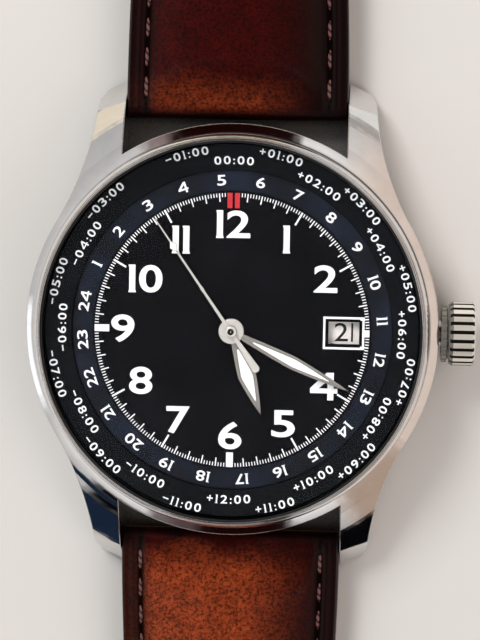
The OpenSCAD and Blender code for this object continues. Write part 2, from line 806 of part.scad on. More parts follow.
module escape_wheel() {
  at = escape_at;
  color("silver") {
    arbor(escape_xy);
    at_xy(escape_xy, z_fourth_wheel - 0.05) gear(escape_pinion_teeth, escape_module, 0.3, mesh_turn(at, at, fourth_teeth, escape_pinion_teeth));
    at_xy(escape_xy, z_escape) difference() {
      linear_extrude(0.12) polygon([for (i = [0:escape_teeth - 1])
        for (k = [[0, 0.74], [0.1, 1], [0.24, 1], [0.34, 0.78]])
          polar(escape_r * k[1], (i + k[0]) * 360 / escape_teeth)]);
      translate([0, 0, -1]) linear_extrude(3) for (k = [0:3])
        polygon(window_points(0.45, escape_r * 0.6, 90 * k, 90 * k + 90, 0.22));
    }
  }
}

// Pallet fork, with its arms towards the escape wheel and its lever towards the balance
module pallet_fork() {
  span = 27;
  stone_w = 0.2;
  near = escape_r * cos(span) - pallet_way;
  side = escape_r * sin(span);
  color("silver") {
    at_xy(pallet_xy) {
      disc(0.14, z_escape - 0.15, z_plate - run);
      disc(pivot_r, z_escape - 0.3, z_escape);
      disc(pivot_r, z_plate - run - e, z_plate + jewel_t);
    }
    at_xy(pallet_xy, z_escape - 0.02) rotate(angle_of(lever_dir)) {
      linear_extrude(0.14) polygon([
        [-0.12, -0.3], [near + 0.18, -side - 0.1], [near + 0.1, -side + 0.12], [-0.3, -0.05],
        [-0.3, 0.05], [near + 0.1, side - 0.12], [near + 0.18, side + 0.1], [-0.12, 0.3],
        [0.3, 0.12], [1.7, 0.08], [1.75, 0.26], [2.02, 0.3], [2.02, 0.1], [1.86, 0.09],
        [1.86, -0.09], [2.02, -0.1], [2.02, -0.3], [1.75, -0.26], [1.7, -0.08], [0.3, -0.12]]);
      for (s = [-1, 1]) translate([near + 0.1, s * side, -0.04])
        rotate(s * -12) translate([-0.22, -stone_w / 2, 0]) cube([0.34, stone_w, 0.22]);
    }
  }
}

module pallet_bridge() {
  half = 2.3;
  foot = 0.5;
  color("silver") difference() {
    union() {
      at_xy(pallet_xy, z_escape - 0.25) rotate(angle_of(lever_side))
        translate([-half, -foot, 0]) cube([2 * half, 2 * foot, 0.14]);
      for (s = [-1, 1]) at_xy(pallet_xy + s * half * lever_side) disc(foot, z_escape - 0.25, z_plate);
    }
    at_xy(pallet_xy) disc(pivot_r + run, z_escape - 1, z_escape + 1);
  }
}

// Balance

z_balance = z_train + 0.15;
z_hairspring = z_train - 0.13;
hair_in_r = 0.52;
hair_pitch = 0.46;
stud_r = hair_in_r + hair_pitch * hairspring_turns;

module balance_wheel() {
  r = balance_d / 2;
  color("goldenrod") at_xy(balance_xy) {
    difference() {
      disc(r, z_balance, z_balance + 0.2);
      disc(r - 0.38, z_balance - 1, z_balance + 1);
    }
    for (a = [20, 110]) rotate(a) translate([-r + 0.2, -0.2, z_balance]) cube([2 * r - 0.4, 0.4, 0.14]);
    disc(0.45, z_balance, z_balance + 0.3);
    disc(0.42, z_hairspring - 0.05, z_balance);
    disc(pivot_r, z_bridge + 0.1, z_balance);
    disc(0.16, z_balance, z_plate - run);
    disc(pivot_r, z_plate - run - e, z_plate + jewel_t);
    disc(0.9, z_escape + 0.16, z_escape + 0.26);
    rotate(angle_of(-lever_dir)) translate([0.73, 0, 0]) disc(0.07, z_escape - 0.01, z_escape + 0.18);
  }
}

module hairspring() {
  color("steelblue") at_xy(balance_xy, z_hairspring) rotate(angle_of(lever_side)) linear_extrude(0.12)
    polygon(spiral_points(hair_in_r, stud_r, hairspring_turns, 0.04));
  echo(hairspring_least_gap = hair_pitch - 0.04);
}

module balance_cock() {
  foot_xy = COCK_FOOT;
  way = angle_of(foot_xy - balance_xy);
  reach = norm(foot_xy - balance_xy);
  color("silver") difference() {
    union() {
      at_xy(balance_xy) disc(1.3, z_bridge, z_train - 0.3);
      at_xy(balance_xy, z_bridge) rotate(way) translate([0, -0.9, 0]) cube([reach, 1.8, z_train - 0.3 - z_bridge]);
      at_xy(foot_xy) disc(1.0, z_bridge, z_plate);
      at_xy(balance_xy, z_hairspring - 0.2) rotate(angle_of(lever_side))
        translate([stud_r + 0.03, -0.2, 0]) cube([0.35, 0.4, 0.32]);
      at_xy(balance_xy, z_bridge) rotate(angle_of(lever_side))
        translate([0, -0.3, 0]) cube([stud_r + 0.38, 0.6, z_train - 0.3 - z_bridge]);
    }
    at_xy(balance_xy) disc(jewel_r + press, z_bridge - 1, z_train);
    at_xy(foot_xy) disc(screw_r + press, z_bridge - 1, z_plate + 1);
    at_xy(foot_xy) disc(screw_head_r + 0.05, z_bridge - 1, z_bridge + 0.25);
  }
}

// Plates and bridges

BARREL_PILLARS = [polar(bridge_r - 0.62, 147), polar(bridge_r - 0.55, 27)];
TRAIN_PILLARS = [polar(bridge_r - 1.15, 201), polar(bridge_r - 1.5, 258.6), [6.0, 1.05]];
COCK_FOOT = polar(bridge_r - 1.0, -11.4);
ALL_SCREWS = concat(BARREL_PILLARS, TRAIN_PILLARS, [COCK_FOOT]);
KEEPER_STUDS = [40, 200, 290];
screw_depth = 0.6;

module main_plate() {
  rim_r = date_out_r + 0.06;
  color("#c8c4b8") difference() {
    union() {
      disc(plate_r, z_plate, z_front + 0.3);
      disc(plate_r + 0.25, z_front - 0.35, z_front);
    }
    disc(rim_r, z_front, z_front + 1);
    at_xy(barrel_xy) disc(barrel_teeth * barrel_module / 2 + 0.3, z_plate - 1, z_barrel + barrel_h + 0.05);
    at_xy(barrel_xy) disc(0.4 + run, z_plate, z_barrel + barrel_h + 0.3);
    disc(cannon_teeth * minute_module / 2 + 0.35, z_recess, z_front + 1);
    disc(hour_teeth * hour_module / 2 + 0.2, z_hour_gear - 0.1, z_front + 1);
    at_xy(polar(minute_wheel_r, minute_wheel_at))
      disc(minute_wheel_teeth * minute_module / 2 + 0.25, z_recess, z_front + 1);
    disc(tube_in_r, z_plate - 1, z_front + 1);
    for (p = [third_xy, second_xy, escape_xy, pallet_xy, balance_xy])
      at_xy(p) disc(jewel_r + press, z_plate - 1, z_plate + jewel_t + 0.1);
    for (p = ALL_SCREWS) at_xy(p) disc(screw_r + press, z_plate - 1, z_plate + screw_depth + 0.05);
    for (a = FEET_AT) at_xy(polar(foot_orbit, a)) disc(foot_r + run, z_front - 0.55, z_front + 1);
    along_x(stem_r + run, 10.1, plate_r + 2);
    along_x(0.3 + run, 5.9, 10);
    translate([7.6, -0.95, z_plate - 1]) cube([2.7, 1.9, 4]);
  }
  color("#c8c4b8") {
    washer(tube_in_r, tube_out_r, z_recess - e, z_minute - 0.1);
    at_xy(polar(minute_wheel_r, minute_wheel_at)) disc(minute_post_r, z_recess - e, z_keeper - 0.05);
    for (a = KEEPER_STUDS) at_xy(polar(7.7, a)) disc(0.5, z_front - e, z_keeper);
  }
}

// The parting line's radius and its highest point
parting_r = 30;
parting_xy = [3.5, 2.2];

// The half of the bridges' disc on one side of a slanted, curved parting line
module bridge_half(upper) {
  cut_r = parting_r;
  cut_xy = [parting_xy[0], parting_xy[1] - cut_r];
  gap = upper ? part_gap / 2 : -part_gap / 2;
  if (upper) difference() {
    disc(bridge_r, z_bridge, z_train);
    at_xy(cut_xy) disc(cut_r + gap, z_bridge - 1, z_train + 1);
  }
  else intersection() {
    disc(bridge_r, z_bridge, z_train);
    at_xy(cut_xy) disc(cut_r + gap, z_bridge - 1, z_train + 1);
  }
}

module screw_ways(places) {
  for (p = places) at_xy(p) {
    disc(screw_r + press, z_bridge - 1, z_plate + 1);
    disc(screw_head_r + 0.05, z_bridge - 1, z_bridge + 0.3);
  }
}

module barrel_bridge() {
  color("#d6d3ca") difference() {
    union() {
      bridge_half(true);
      for (p = BARREL_PILLARS) at_xy(p) disc(pillar_r, z_train - e, z_plate);
    }
    screw_ways(BARREL_PILLARS);
    at_xy(second_xy) disc(jewel_r + press, z_bridge - 1, z_train + 1);
    at_xy(barrel_xy) disc(ratchet_teeth * ratchet_module / 2 + 0.25, z_bridge - 1, z_bridge + 0.35);
    at_xy(barrel_xy) disc(0.5 + run, z_bridge, z_train + 1);
    at_xy(barrel_xy) disc(barrel_arbor_r + run, z_train - 0.15, z_train + 1);
  }
}

module train_bridge() {
  color("#d6d3ca") difference() {
    union() {
      bridge_half(false);
      for (p = TRAIN_PILLARS) at_xy(p) disc(pillar_r, z_train - e, z_plate);
    }
    screw_ways(TRAIN_PILLARS);
    for (p = [[0, 0], third_xy, escape_xy]) at_xy(p) disc(jewel_r + press, z_train - 0.5, z_train + 1);
    for (p = [third_xy, escape_xy]) at_xy(p) disc(jewel_r + press, z_bridge - 1, z_train + 1);
    at_xy(balance_xy) disc(balance_d / 2 + 0.35, z_bridge - 1, z_train + 1);
    at_xy(COCK_FOOT) disc(1.7, z_bridge - 1, z_train + 1);
    at_xy(balance_xy, z_bridge - 1) rotate(angle_of(COCK_FOOT - balance_xy))
      translate([0, -4, 0]) cube([7, 5.2, 4]);
  }
}

module jewel(xy, z) {
  at_xy(xy, z) difference() {
    cylinder(r = jewel_r, h = jewel_t);
    translate([0, 0, -1]) cylinder(r = pivot_r + 0.03, h = 3);
  }
}

module jewels() {
  color("crimson") {
    for (p = [[0, 0], third_xy, second_xy, escape_xy]) jewel(p, z_train - jewel_t - 0.02);
    for (p = [third_xy, second_xy, escape_xy, pallet_xy, balance_xy]) jewel(p, z_plate + 0.05);
    at_xy(balance_xy) washer(pivot_r + 0.03, jewel_r, z_bridge + 0.05, z_bridge + 0.35);
  }
}

module screw(xy, head_z) {
  at_xy(xy) difference() {
    union() {
      disc(screw_head_r, head_z - 0.24, head_z);
      disc(screw_r, head_z - e, z_plate + screw_depth);
    }
    translate([-screw_head_r - 1, -0.08, head_z - 1.24]) cube([2 * screw_head_r + 2, 0.16, 1.12]);
  }
}

module bridge_screws() {
  color("royalblue") {
    for (p = concat(BARREL_PILLARS, TRAIN_PILLARS)) screw(p, z_bridge + 0.3);
    screw(COCK_FOOT, z_bridge + 0.25);
  }
}

module holder_ring() {
  step_r = plate_r + 0.3;
  color("#b0b0b0") difference() {
    disc(ring_r, z_collar, z_holder);
    disc(plate_r + 0.05, z_collar - 1, z_holder + 1);
    disc(step_r, z_front - 0.35, z_holder + 1);
    along_x(stem_r + 0.12, 0, ring_r + 2);
  }
}

// Rotor

module rotor() {
  rim_in = bridge_r + 0.25;
  hub_out = 2.3;
  color("#cfcfd4") difference() {
    union() {
      difference() {
        disc(rotor_r, z_rotor, z_rotor + rotor_t);
        translate([-rotor_r - 1, 0, 0]) cube([2 * rotor_r + 2, rotor_r + 1, 6]);
        translate([0, 0, z_rotor - 1]) linear_extrude(3) for (k = [0:4])
          polygon(window_points(4.2, rim_in - 0.8, -165 + 30 * k, -135 + 30 * k, 0.9));
      }
      difference() {
        washer(rim_in, rotor_r, z_rotor, z_rotor + rotor_rim_t);
        translate([-rotor_r - 1, 0, 0]) cube([2 * rotor_r + 2, rotor_r + 1, 6]);
      }
      disc(hub_out, z_rotor, z_rotor + rotor_t);
    }
    disc(bearing_r + run, z_rotor - 1, z_rotor + 3);
  }
}

module rotor_bearing() {
  color("silver") difference() {
    union() {
      disc(bearing_r, z_rotor - 0.14, z_bridge);
      disc(bearing_r + 0.4, z_rotor - 0.14, z_rotor - 0.04);
    }
    translate([-0.6, -0.1, z_rotor - 1]) cube([1.2, 0.2, 0.95]);
    for (a = [0:60:300]) at_xy(polar(0.95, a + 30)) disc(0.12, z_rotor - 1, z_rotor);
  }
}

// Crown and stem

crown_x = case_r + 0.2;
cup_depth = 1.9;
square_side = 0.6;
crown_pull = 1.2;

module stem() {
  color("silver") {
    along_x(0.3, 6.1, 7.7);
    translate([7.7 - e, -square_side / 2, stem_z - square_side / 2]) cube([2.6 + e, square_side, square_side]);
    along_x(stem_r, 10.3 - e, crown_x + cup_depth + 0.6);
  }
}

module sliding_pinion() {
  color("silver") difference() {
    union() {
      translate([7.75, 0, stem_z]) rotate([90, 0, 90]) gear(14, 0.095, 0.6);
      along_x(0.5, 8.3, 9.3);
      translate([9.2, 0, stem_z]) rotate([90, 0, 90]) gear(14, 0.095, 0.6);
    }
    translate([5, -square_side / 2 - 0.03, stem_z - square_side / 2 - 0.03])
      cube([8, square_side + 0.06, square_side + 0.06]);
  }
}

module crown() {
  r = crown_d / 2;
  neck_r = r - 0.3;
  neck = 0.55;
  waist_r = r - 0.62;
  flute_r = 0.22;
  color("silver") translate([crown_x, 0, stem_z]) difference() {
    rotate([90, 0, 90]) rotate_extrude() polygon(concat(
      [[0, 0], [neck_r - 0.15, 0], [neck_r, 0.12], [neck_r, neck - 0.06], [waist_r, neck + 0.04],
       [waist_r, neck + 0.14], [r - 0.22, neck + 0.18], [r, neck + 0.5]],
      [[r, crown_len - 0.25]], bow([r, crown_len - 0.25], [r - 0.4, crown_len], -0.06, 4),
      [[0, crown_len]]));
    rotate([0, 90, 0]) translate([0, 0, -1]) cylinder(r = tube_r + 0.45, h = cup_depth + 1);
    rotate([0, 90, 0]) cylinder(r = stem_r + press, h = cup_depth + 0.65);
    for (i = [0:crown_flutes - 1]) rotate([(i + 0.5) * 360 / crown_flutes, 0, 0]) {
      translate([neck + 0.1, 0, r + 0.12]) rotate([0, 90, 0]) cylinder(r = flute_r, h = crown_len, $fn = 16);
      translate([-1, 0, neck_r + 0.1]) rotate([0, 90, 0]) cylinder(r = flute_r, h = neck + 1.05, $fn = 16);
    }
  }
}

module crown_gasket() {
  color("#111111") difference() {
    along_x(tube_r + 0.45 - press, crown_x + 0.3, crown_x + 0.7);
    along_x(tube_r + run, crown_x, crown_x + 2);
  }
}

// Case back

module back_gasket_groove() {
  washer((thread_r + back_r) / 2 - 0.3, (thread_r + back_r) / 2 + 0.3, rim_z - 1, rim_z + 0.5);
}

module back_gasket() {
  mid = (thread_r + back_r) / 2;
  color("#111111") washer(mid - 0.27, mid + 0.27, rim_z, rim_z + 0.45);
}

glass_lip = 0.2;
glass_r = window_d / 2 + 0.6;

module case_back() {
  color("silver") difference() {
    union() {
      disc(back_r, 0, rim_z);
      disc(collar_r, rim_z - e, z_collar);
    }
    disc(collar_r - 0.85, back_t, z_collar + 1);
    disc(window_d / 2, -1, back_t + 1);
    disc(glass_r + press, glass_lip, back_t + 1);
    for (i = [0:key_notches - 1]) rotate(i * 360 / key_notches)
      translate([back_r - 1.3, -0.8, -1]) cube([1.4, 1.6, 1.45]);
  }
}

module back_window() {
  color("lightcyan", 0.4) disc(glass_r, glass_lip, glass_lip + window_t);
}

// Strap

module spring_bar(y) {
  translate([0, y, bar_z]) rotate([0, 90, 0]) {
    translate([0, 0, -lug_gap / 2 + 0.2]) cylinder(r = bar_r, h = lug_gap - 0.4);
    translate([0, 0, -lug_gap / 2 - 0.8]) cylinder(r = bar_tip_r, h = lug_gap + 1.6);
  }
}

module spring_bars() {
  color("silver") for (y = [-bar_y, bar_y]) spring_bar(y);
}

// The strap's size at a distance from its spring bar
function ease(t) = let (c = min(1, max(0, t))) c * c * (3 - 2 * c);
function body_w(s) = strap_w + (tail_w - strap_w) * ease(s / taper_len);
function edge_h(s) = edge_t + (tail_t - edge_t) * ease(s / taper_len);
function pad(s) = pad_h * ease(s / 5) * (1 - 0.85 * ease((s - 6) / pad_len));
function under(s, low) = bar_z - eye_r + (low - bar_z + eye_r) * ease(s / 20);

// One cross-section: the flat underside, the two margins and the crowned middle
TOP_STEPS = 10;
function section(s, w, z, h, p) =
  let (half = w / 2, inner = max(0.1, half - margin_w), soft = min(0.35, h / 3, half / 2))
  concat([[-half + soft, s, z], [half - soft, s, z], [half, s, z + soft], [half, s, z + h - soft],
          [half - soft, s, z + h]],
         [for (i = [0:TOP_STEPS]) let (x = inner * cos(180 * i / TOP_STEPS))
           [x, s, z + h + p * pow(max(0, 1 - pow(x / inner, 2)), 0.6)]],
         [[-half + soft, s, z + h], [-half, s, z + h - soft], [-half, s, z + soft]]);

// A closed skin over a row of sections that all have the same number of points
module skin(rows) {
  n = len(rows[0]);
  last = len(rows) - 1;
  polyhedron(
    points = [for (row = rows) each row],
    faces = concat(
      [[for (j = [n - 1:-1:0]) j]],
      [[for (j = [0:n - 1]) last * n + j]],
      [for (i = [0:last - 1]) for (j = [0:n - 1]) let (k = (j + 1) % n)
        each [[i * n + j, i * n + k, (i + 1) * n + k], [i * n + j, (i + 1) * n + k, (i + 1) * n + j]]]));
}

EYE_STEPS = [-0.97, -0.8, -0.5];
function eye_row(share) =
  let (h = 2 * eye_r * sqrt(1 - share * share)) section(share * eye_r, strap_w, bar_z - h / 2, h, 0);

function body_row(s, low) = section(s, body_w(s), under(s, low), edge_h(s) * 0 + body_h(s, low), pad(s));
// The edge's height, blended out of the round eye over the first few millimetres
function body_h(s, low) = 2 * eye_r + (edge_h(s) - 2 * eye_r) * ease(s / 6);

module strap_short() {
  steps = [0, 1.5, 3, 4.5, 6, 9, 13, 18, 24, 31, 38, 46, 55, short_len - 12, short_len - 4];
  tail = body_w(short_len);
  color("saddlebrown") translate([0, bar_y, 0]) difference() {
    skin(concat([for (k = EYE_STEPS) eye_row(k)],
                [for (s = steps) body_row(s, short_under)],
                [for (k = [0, 0.5, 0.8, 0.97]) let (h = tail_t * sqrt(1 - k * k))
                  section(short_len + k * tail_t / 2, tail, buckle_z - h / 2, h, k == 0 ? 0.05 : 0)]));
    translate([-strap_w, 0, bar_z]) rotate([0, 90, 0]) cylinder(r = bar_r + run, h = 2 * strap_w);
    translate([-strap_w, short_len, buckle_z]) rotate([0, 90, 0])
      cylinder(r = buckle_bar_r + run, h = 2 * strap_w);
    translate([-slot_w / 2, short_len - slot_len, -1]) cube([slot_w, slot_len + 3, 9]);
  }
}

module strap_long() {
  steps = [0, 1.5, 3, 4.5, 6, 9, 13, 18, 24, 31, 38, 46, 55, 70, 90, long_len - tip_len];
  tail = body_w(long_len);
  color("saddlebrown") rotate(180) translate([0, bar_y, 0]) difference() {
    skin(concat([for (k = EYE_STEPS) eye_row(k)],
                [for (s = steps) body_row(s, long_under)],
                [for (k = [0.25, 0.5, 0.7, 0.85, 0.95, 0.99]) let (s = long_len - tip_len * (1 - k))
                  section(s, tail * sqrt(1 - k * k), under(s, long_under), tail_t, pad(s))]));
    translate([-strap_w, 0, bar_z]) rotate([0, 90, 0]) cylinder(r = bar_r + run, h = 2 * strap_w);
    for (i = [0:strap_holes - 1]) translate([0, long_len - hole_first - i * hole_pitch, -1])
      cylinder(r = hole_r, h = 9);
  }
}

module round_rect(w, h, r) {
  translate([-w / 2 + r, 0]) square([w - 2 * r, h]);
  translate([-w / 2, r]) square([w, h - 2 * r]);
  for (x = [-w / 2 + r, w / 2 - r]) for (z = [r, h - r]) translate([x, z]) circle(r = r);
}

// A leather loop round the strap, with room above it for the other half's tail
module keeper(y) {
  in_w = tail_w + 2 * keeper_play;
  in_h = 2 * tail_t + 0.7;
  low = short_under - 0.06;
  color("sienna") translate([0, y + keeper_w / 2, low - keeper_wall]) rotate([90, 0, 0])
    linear_extrude(keeper_w) difference() {
      round_rect(in_w + 2 * keeper_wall, in_h + 2 * keeper_wall, 1.2);
      translate([0, keeper_wall]) round_rect(in_w, in_h, 0.3);
    }
}

fixed_keeper_y = buckle_y - keeper_inset;
sliding_keeper_y = fixed_keeper_y - keeper_w - keeper_spacing;

module fixed_keeper() {
  keeper(fixed_keeper_y);
}

module sliding_keeper() {
  keeper(sliding_keeper_y);
}

// Buckle, in a frame with its bar at the origin

buckle_back = 1.4;
buckle_bow = 0.5;

// Height of the buckle's upper face above its bar, at a distance from the bar
function buckle_top(y) =
  let (t = (buckle_len - y) / (buckle_len + buckle_back))
  buckle_t / 2 - buckle_drop * (1 - t) + 4 * buckle_bow * t * (1 - t);

arm_w = (buckle_w - tail_w - 0.5) / 2;
front_w = 2.2;
buckle_drop = buckle_z - buckle_t / 2 - 0.1;

module buckle_frame() {
  in_w = buckle_w - 2 * arm_w;
  back = buckle_back;
  color("silver") translate([0, buckle_y, buckle_z]) difference() {
    intersection() {
      translate([0, -back, -6]) linear_extrude(12) round_rect(buckle_w, buckle_len + back, 1.3);
      rotate([90, 0, 90]) translate([0, 0, -buckle_w]) linear_extrude(2 * buckle_w) polygon(concat(
        bow([-back, -buckle_t / 2], [buckle_len, -buckle_t / 2 - buckle_drop], buckle_bow, 8),
        bow([buckle_len, buckle_t / 2 - buckle_drop], [-back, buckle_t / 2], -buckle_bow, 8)));
    }
    translate([-in_w / 2, -back - 1, -7]) cube([in_w, buckle_len - front_w + back + 1, 14]);
    rotate([0, 90, 0]) translate([0, 0, -buckle_w]) cylinder(r = 0.36 + run, h = 2 * buckle_w);
  }
}

module buckle_bar() {
  in_w = buckle_w - 2 * arm_w;
  color("silver") translate([0, buckle_y, buckle_z]) rotate([0, 90, 0]) {
    translate([0, 0, -in_w / 2 + 0.1]) cylinder(r = buckle_bar_r, h = in_w - 0.2);
    translate([0, 0, -in_w / 2 - arm_w + 0.5]) cylinder(r = 0.36, h = in_w + 2 * arm_w - 1);
  }
}

module buckle_tongue() {
  eye = 1.1;
  lift = 0.06;
  rest = buckle_len - front_w;
  tip = buckle_len + 0.3;
  low = [for (y = [rest:0.55:buckle_len]) [y, buckle_top(y) + lift]];
  color("silver") translate([0, buckle_y, buckle_z]) difference() {
    union() {
      rotate([0, 90, 0]) translate([0, 0, -tongue_w / 2]) cylinder(r = eye, h = tongue_w);
      rotate([90, 0, 90]) translate([0, 0, -tongue_w / 2]) linear_extrude(tongue_w) polygon(concat(
        [[0, 0.2]], [[rest - 1.4, buckle_top(rest) + lift]], low,
        [[tip, buckle_top(buckle_len) + lift - 0.15], [tip + 0.1, buckle_top(buckle_len) + 0.45],
         [rest + 0.3, buckle_top(rest) + 0.85], [rest - 1.6, buckle_top(rest) + 0.95], [0, eye]]));
    }
    rotate([0, 90, 0]) translate([0, 0, -tongue_w]) cylinder(r = buckle_bar_r + run, h = 2 * tongue_w);
  }
}

case_middle();
crown_tube();
bezel();
crystal_gasket();
crystal();
offset_ring();
dial();
ring_24h();
ring_idler();
date_disc();
date_keeper_plate();
hour_hand();
hour_lume();
hour_wheel();
minute_hand();
minute_lume();
cannon_pinion();
minute_wheel();
seconds_hand();
fourth_wheel();
third_wheel();
second_wheel();
barrel();
barrel_cover();
barrel_arbor();
mainspring();
ratchet_wheel();
escape_wheel();
pallet_fork();
pallet_bridge();
balance_wheel();
hairspring();
balance_cock();
main_plate();
barrel_bridge();
train_bridge();
jewels();
bridge_screws();
holder_ring();
rotor();
rotor_bearing();
stem();
sliding_pinion();
crown();
crown_gasket();
case_back();
back_window();
back_gasket();
spring_bars();
strap_short();
strap_long();
fixed_keeper();
sliding_keeper();
buckle_frame();
buckle_tongue();
buckle_bar();
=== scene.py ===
"""Visual model of an automatic wristwatch with a turning 24-hour ring.

Lengths are in millimetres until a mesh is made, and angles are in degrees. Angles on the dial are
clockwise from 12 o'clock.
"""

from __future__ import annotations

import json
import logging
import math
from dataclasses import dataclass, field
from enum import Enum
from typing import Callable, Iterable, Protocol, Sequence

import bmesh
import bpy
from mathutils import Matrix, Vector

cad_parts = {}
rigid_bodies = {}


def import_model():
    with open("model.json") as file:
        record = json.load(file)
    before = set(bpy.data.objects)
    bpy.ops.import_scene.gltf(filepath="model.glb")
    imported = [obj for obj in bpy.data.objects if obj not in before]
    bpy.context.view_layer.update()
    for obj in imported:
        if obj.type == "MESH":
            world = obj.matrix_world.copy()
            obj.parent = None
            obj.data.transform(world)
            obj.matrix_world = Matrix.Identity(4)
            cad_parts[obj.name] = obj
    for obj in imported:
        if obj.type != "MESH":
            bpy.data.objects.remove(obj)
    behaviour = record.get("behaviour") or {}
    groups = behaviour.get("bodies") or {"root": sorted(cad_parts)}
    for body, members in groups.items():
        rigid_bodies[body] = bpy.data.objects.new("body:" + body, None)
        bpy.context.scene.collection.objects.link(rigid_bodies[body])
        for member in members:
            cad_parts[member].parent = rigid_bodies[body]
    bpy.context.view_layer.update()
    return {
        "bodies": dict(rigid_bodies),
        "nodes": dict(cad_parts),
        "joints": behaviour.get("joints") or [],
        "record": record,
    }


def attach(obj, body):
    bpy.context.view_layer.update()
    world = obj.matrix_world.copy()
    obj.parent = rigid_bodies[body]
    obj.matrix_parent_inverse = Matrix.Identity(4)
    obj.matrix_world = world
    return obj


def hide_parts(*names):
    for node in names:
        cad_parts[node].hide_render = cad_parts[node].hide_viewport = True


LOG = logging.getLogger("wristwatch")
MM = 0.001

Point = tuple[float, float, float]
Flat = tuple[float, float]
Colour = tuple[float, float, float]


def shade(*seen: int) -> Colour:
    """Turns a colour as seen on a screen, 0 to 255, into the linear values that shaders take."""
    parts = (value / 255 for value in seen)
    return tuple(part / 12.92 if part <= 0.04045 else ((part + 0.055) / 1.055) ** 2.4 for part in parts)


def dimmed(colour: Colour, share: float) -> Colour:
    """A linear colour times a share; above 1 it gets paler."""
    return tuple(share * part for part in colour)


def ease(t: float) -> float:
    """Smooth step from 0 to 1."""
    c = min(1.0, max(0.0, t))
    return c * c * (3 - 2 * c)


def polar(radius: float, angle: float) -> Flat:
    """A point at a radius and an angle counter-clockwise from X."""
    turn = math.radians(angle)
    return radius * math.cos(turn), radius * math.sin(turn)


def spin(angle: float, axis: str = "Z") -> Matrix:
    """A turn about an axis."""
    return Matrix.Rotation(math.radians(angle), 4, axis)


def shift(x: float, y: float, z: float = 0.0) -> Matrix:
    """A move."""
    return Matrix.Translation((x, y, z))


# Materials


def math_step(operation: str, swapped: bool = False) -> Callable[[Value, object], Value]:
    """An operator that adds one Math node, with its sides swapped if asked."""

    def step(self: Value, other: object) -> Value:
        return self.graph.calc(operation, *((other, self) if swapped else (self, other)))

    return step


class Value:
    """An output in a node tree; arithmetic on it adds Math nodes."""

    def __init__(self, graph: Graph, socket: bpy.types.NodeSocket) -> None:
        self.graph, self.socket = graph, socket

    __add__ = math_step("ADD")
    __sub__ = math_step("SUBTRACT")
    __rsub__ = math_step("SUBTRACT", swapped=True)
    __mul__ = math_step("MULTIPLY")
    __truediv__ = math_step("DIVIDE")
    __pow__ = math_step("POWER")


class Graph:
    """The node tree of one material or geometry recipe, written one node at a time."""

    def __init__(self, tree: bpy.types.NodeTree) -> None:
        self.tree = tree

    def get(
        self, kind: str, inputs: dict | None = None, out: int | str = 0, **settings: object
    ) -> Value | None:
        """Adds a node.

        Args:
            kind: Blender's name of the node type.
            inputs: Value, constant or linear colour for each input, by name or index.
            out: Name or index of the output to return.
            **settings: Properties of the node, set before its inputs.

        Returns:
            One output of the new node, or None where it has none.
        """
        node = self.tree.nodes.new(kind)
        for key, value in settings.items():
            setattr(node, key, value)
        for key, value in (inputs or {}).items():
            socket = node.inputs[key]
            if isinstance(value, Value):
                self.tree.links.new(value.socket, socket)
            else:
                socket.default_value = (*value[:3], 1.0) if socket.type == "RGBA" else value
        return Value(self, node.outputs[out]) if node.outputs else None

    def calc(self, operation: str, *values: object) -> Value:
        """One Math node on up to three values."""
        return self.get("ShaderNodeMath", dict(enumerate(values)), operation=operation)

    def aim(self, operation: str, *values: object, out: int | str = 0) -> Value:
        """One Vector Math node."""
        return self.get("ShaderNodeVectorMath", dict(enumerate(values)), out, operation=operation)

    def vector(self, *values: object) -> Value:
        """Joins three values into a vector."""
        return self.get("ShaderNodeCombineXYZ", dict(enumerate(values)))

    def parts(self, vector: Value) -> tuple[Value, ...]:
        """The three parts of a vector."""
        first = self.get("ShaderNodeSeparateXYZ", {0: vector})
        return tuple(Value(self, socket) for socket in first.socket.node.outputs)


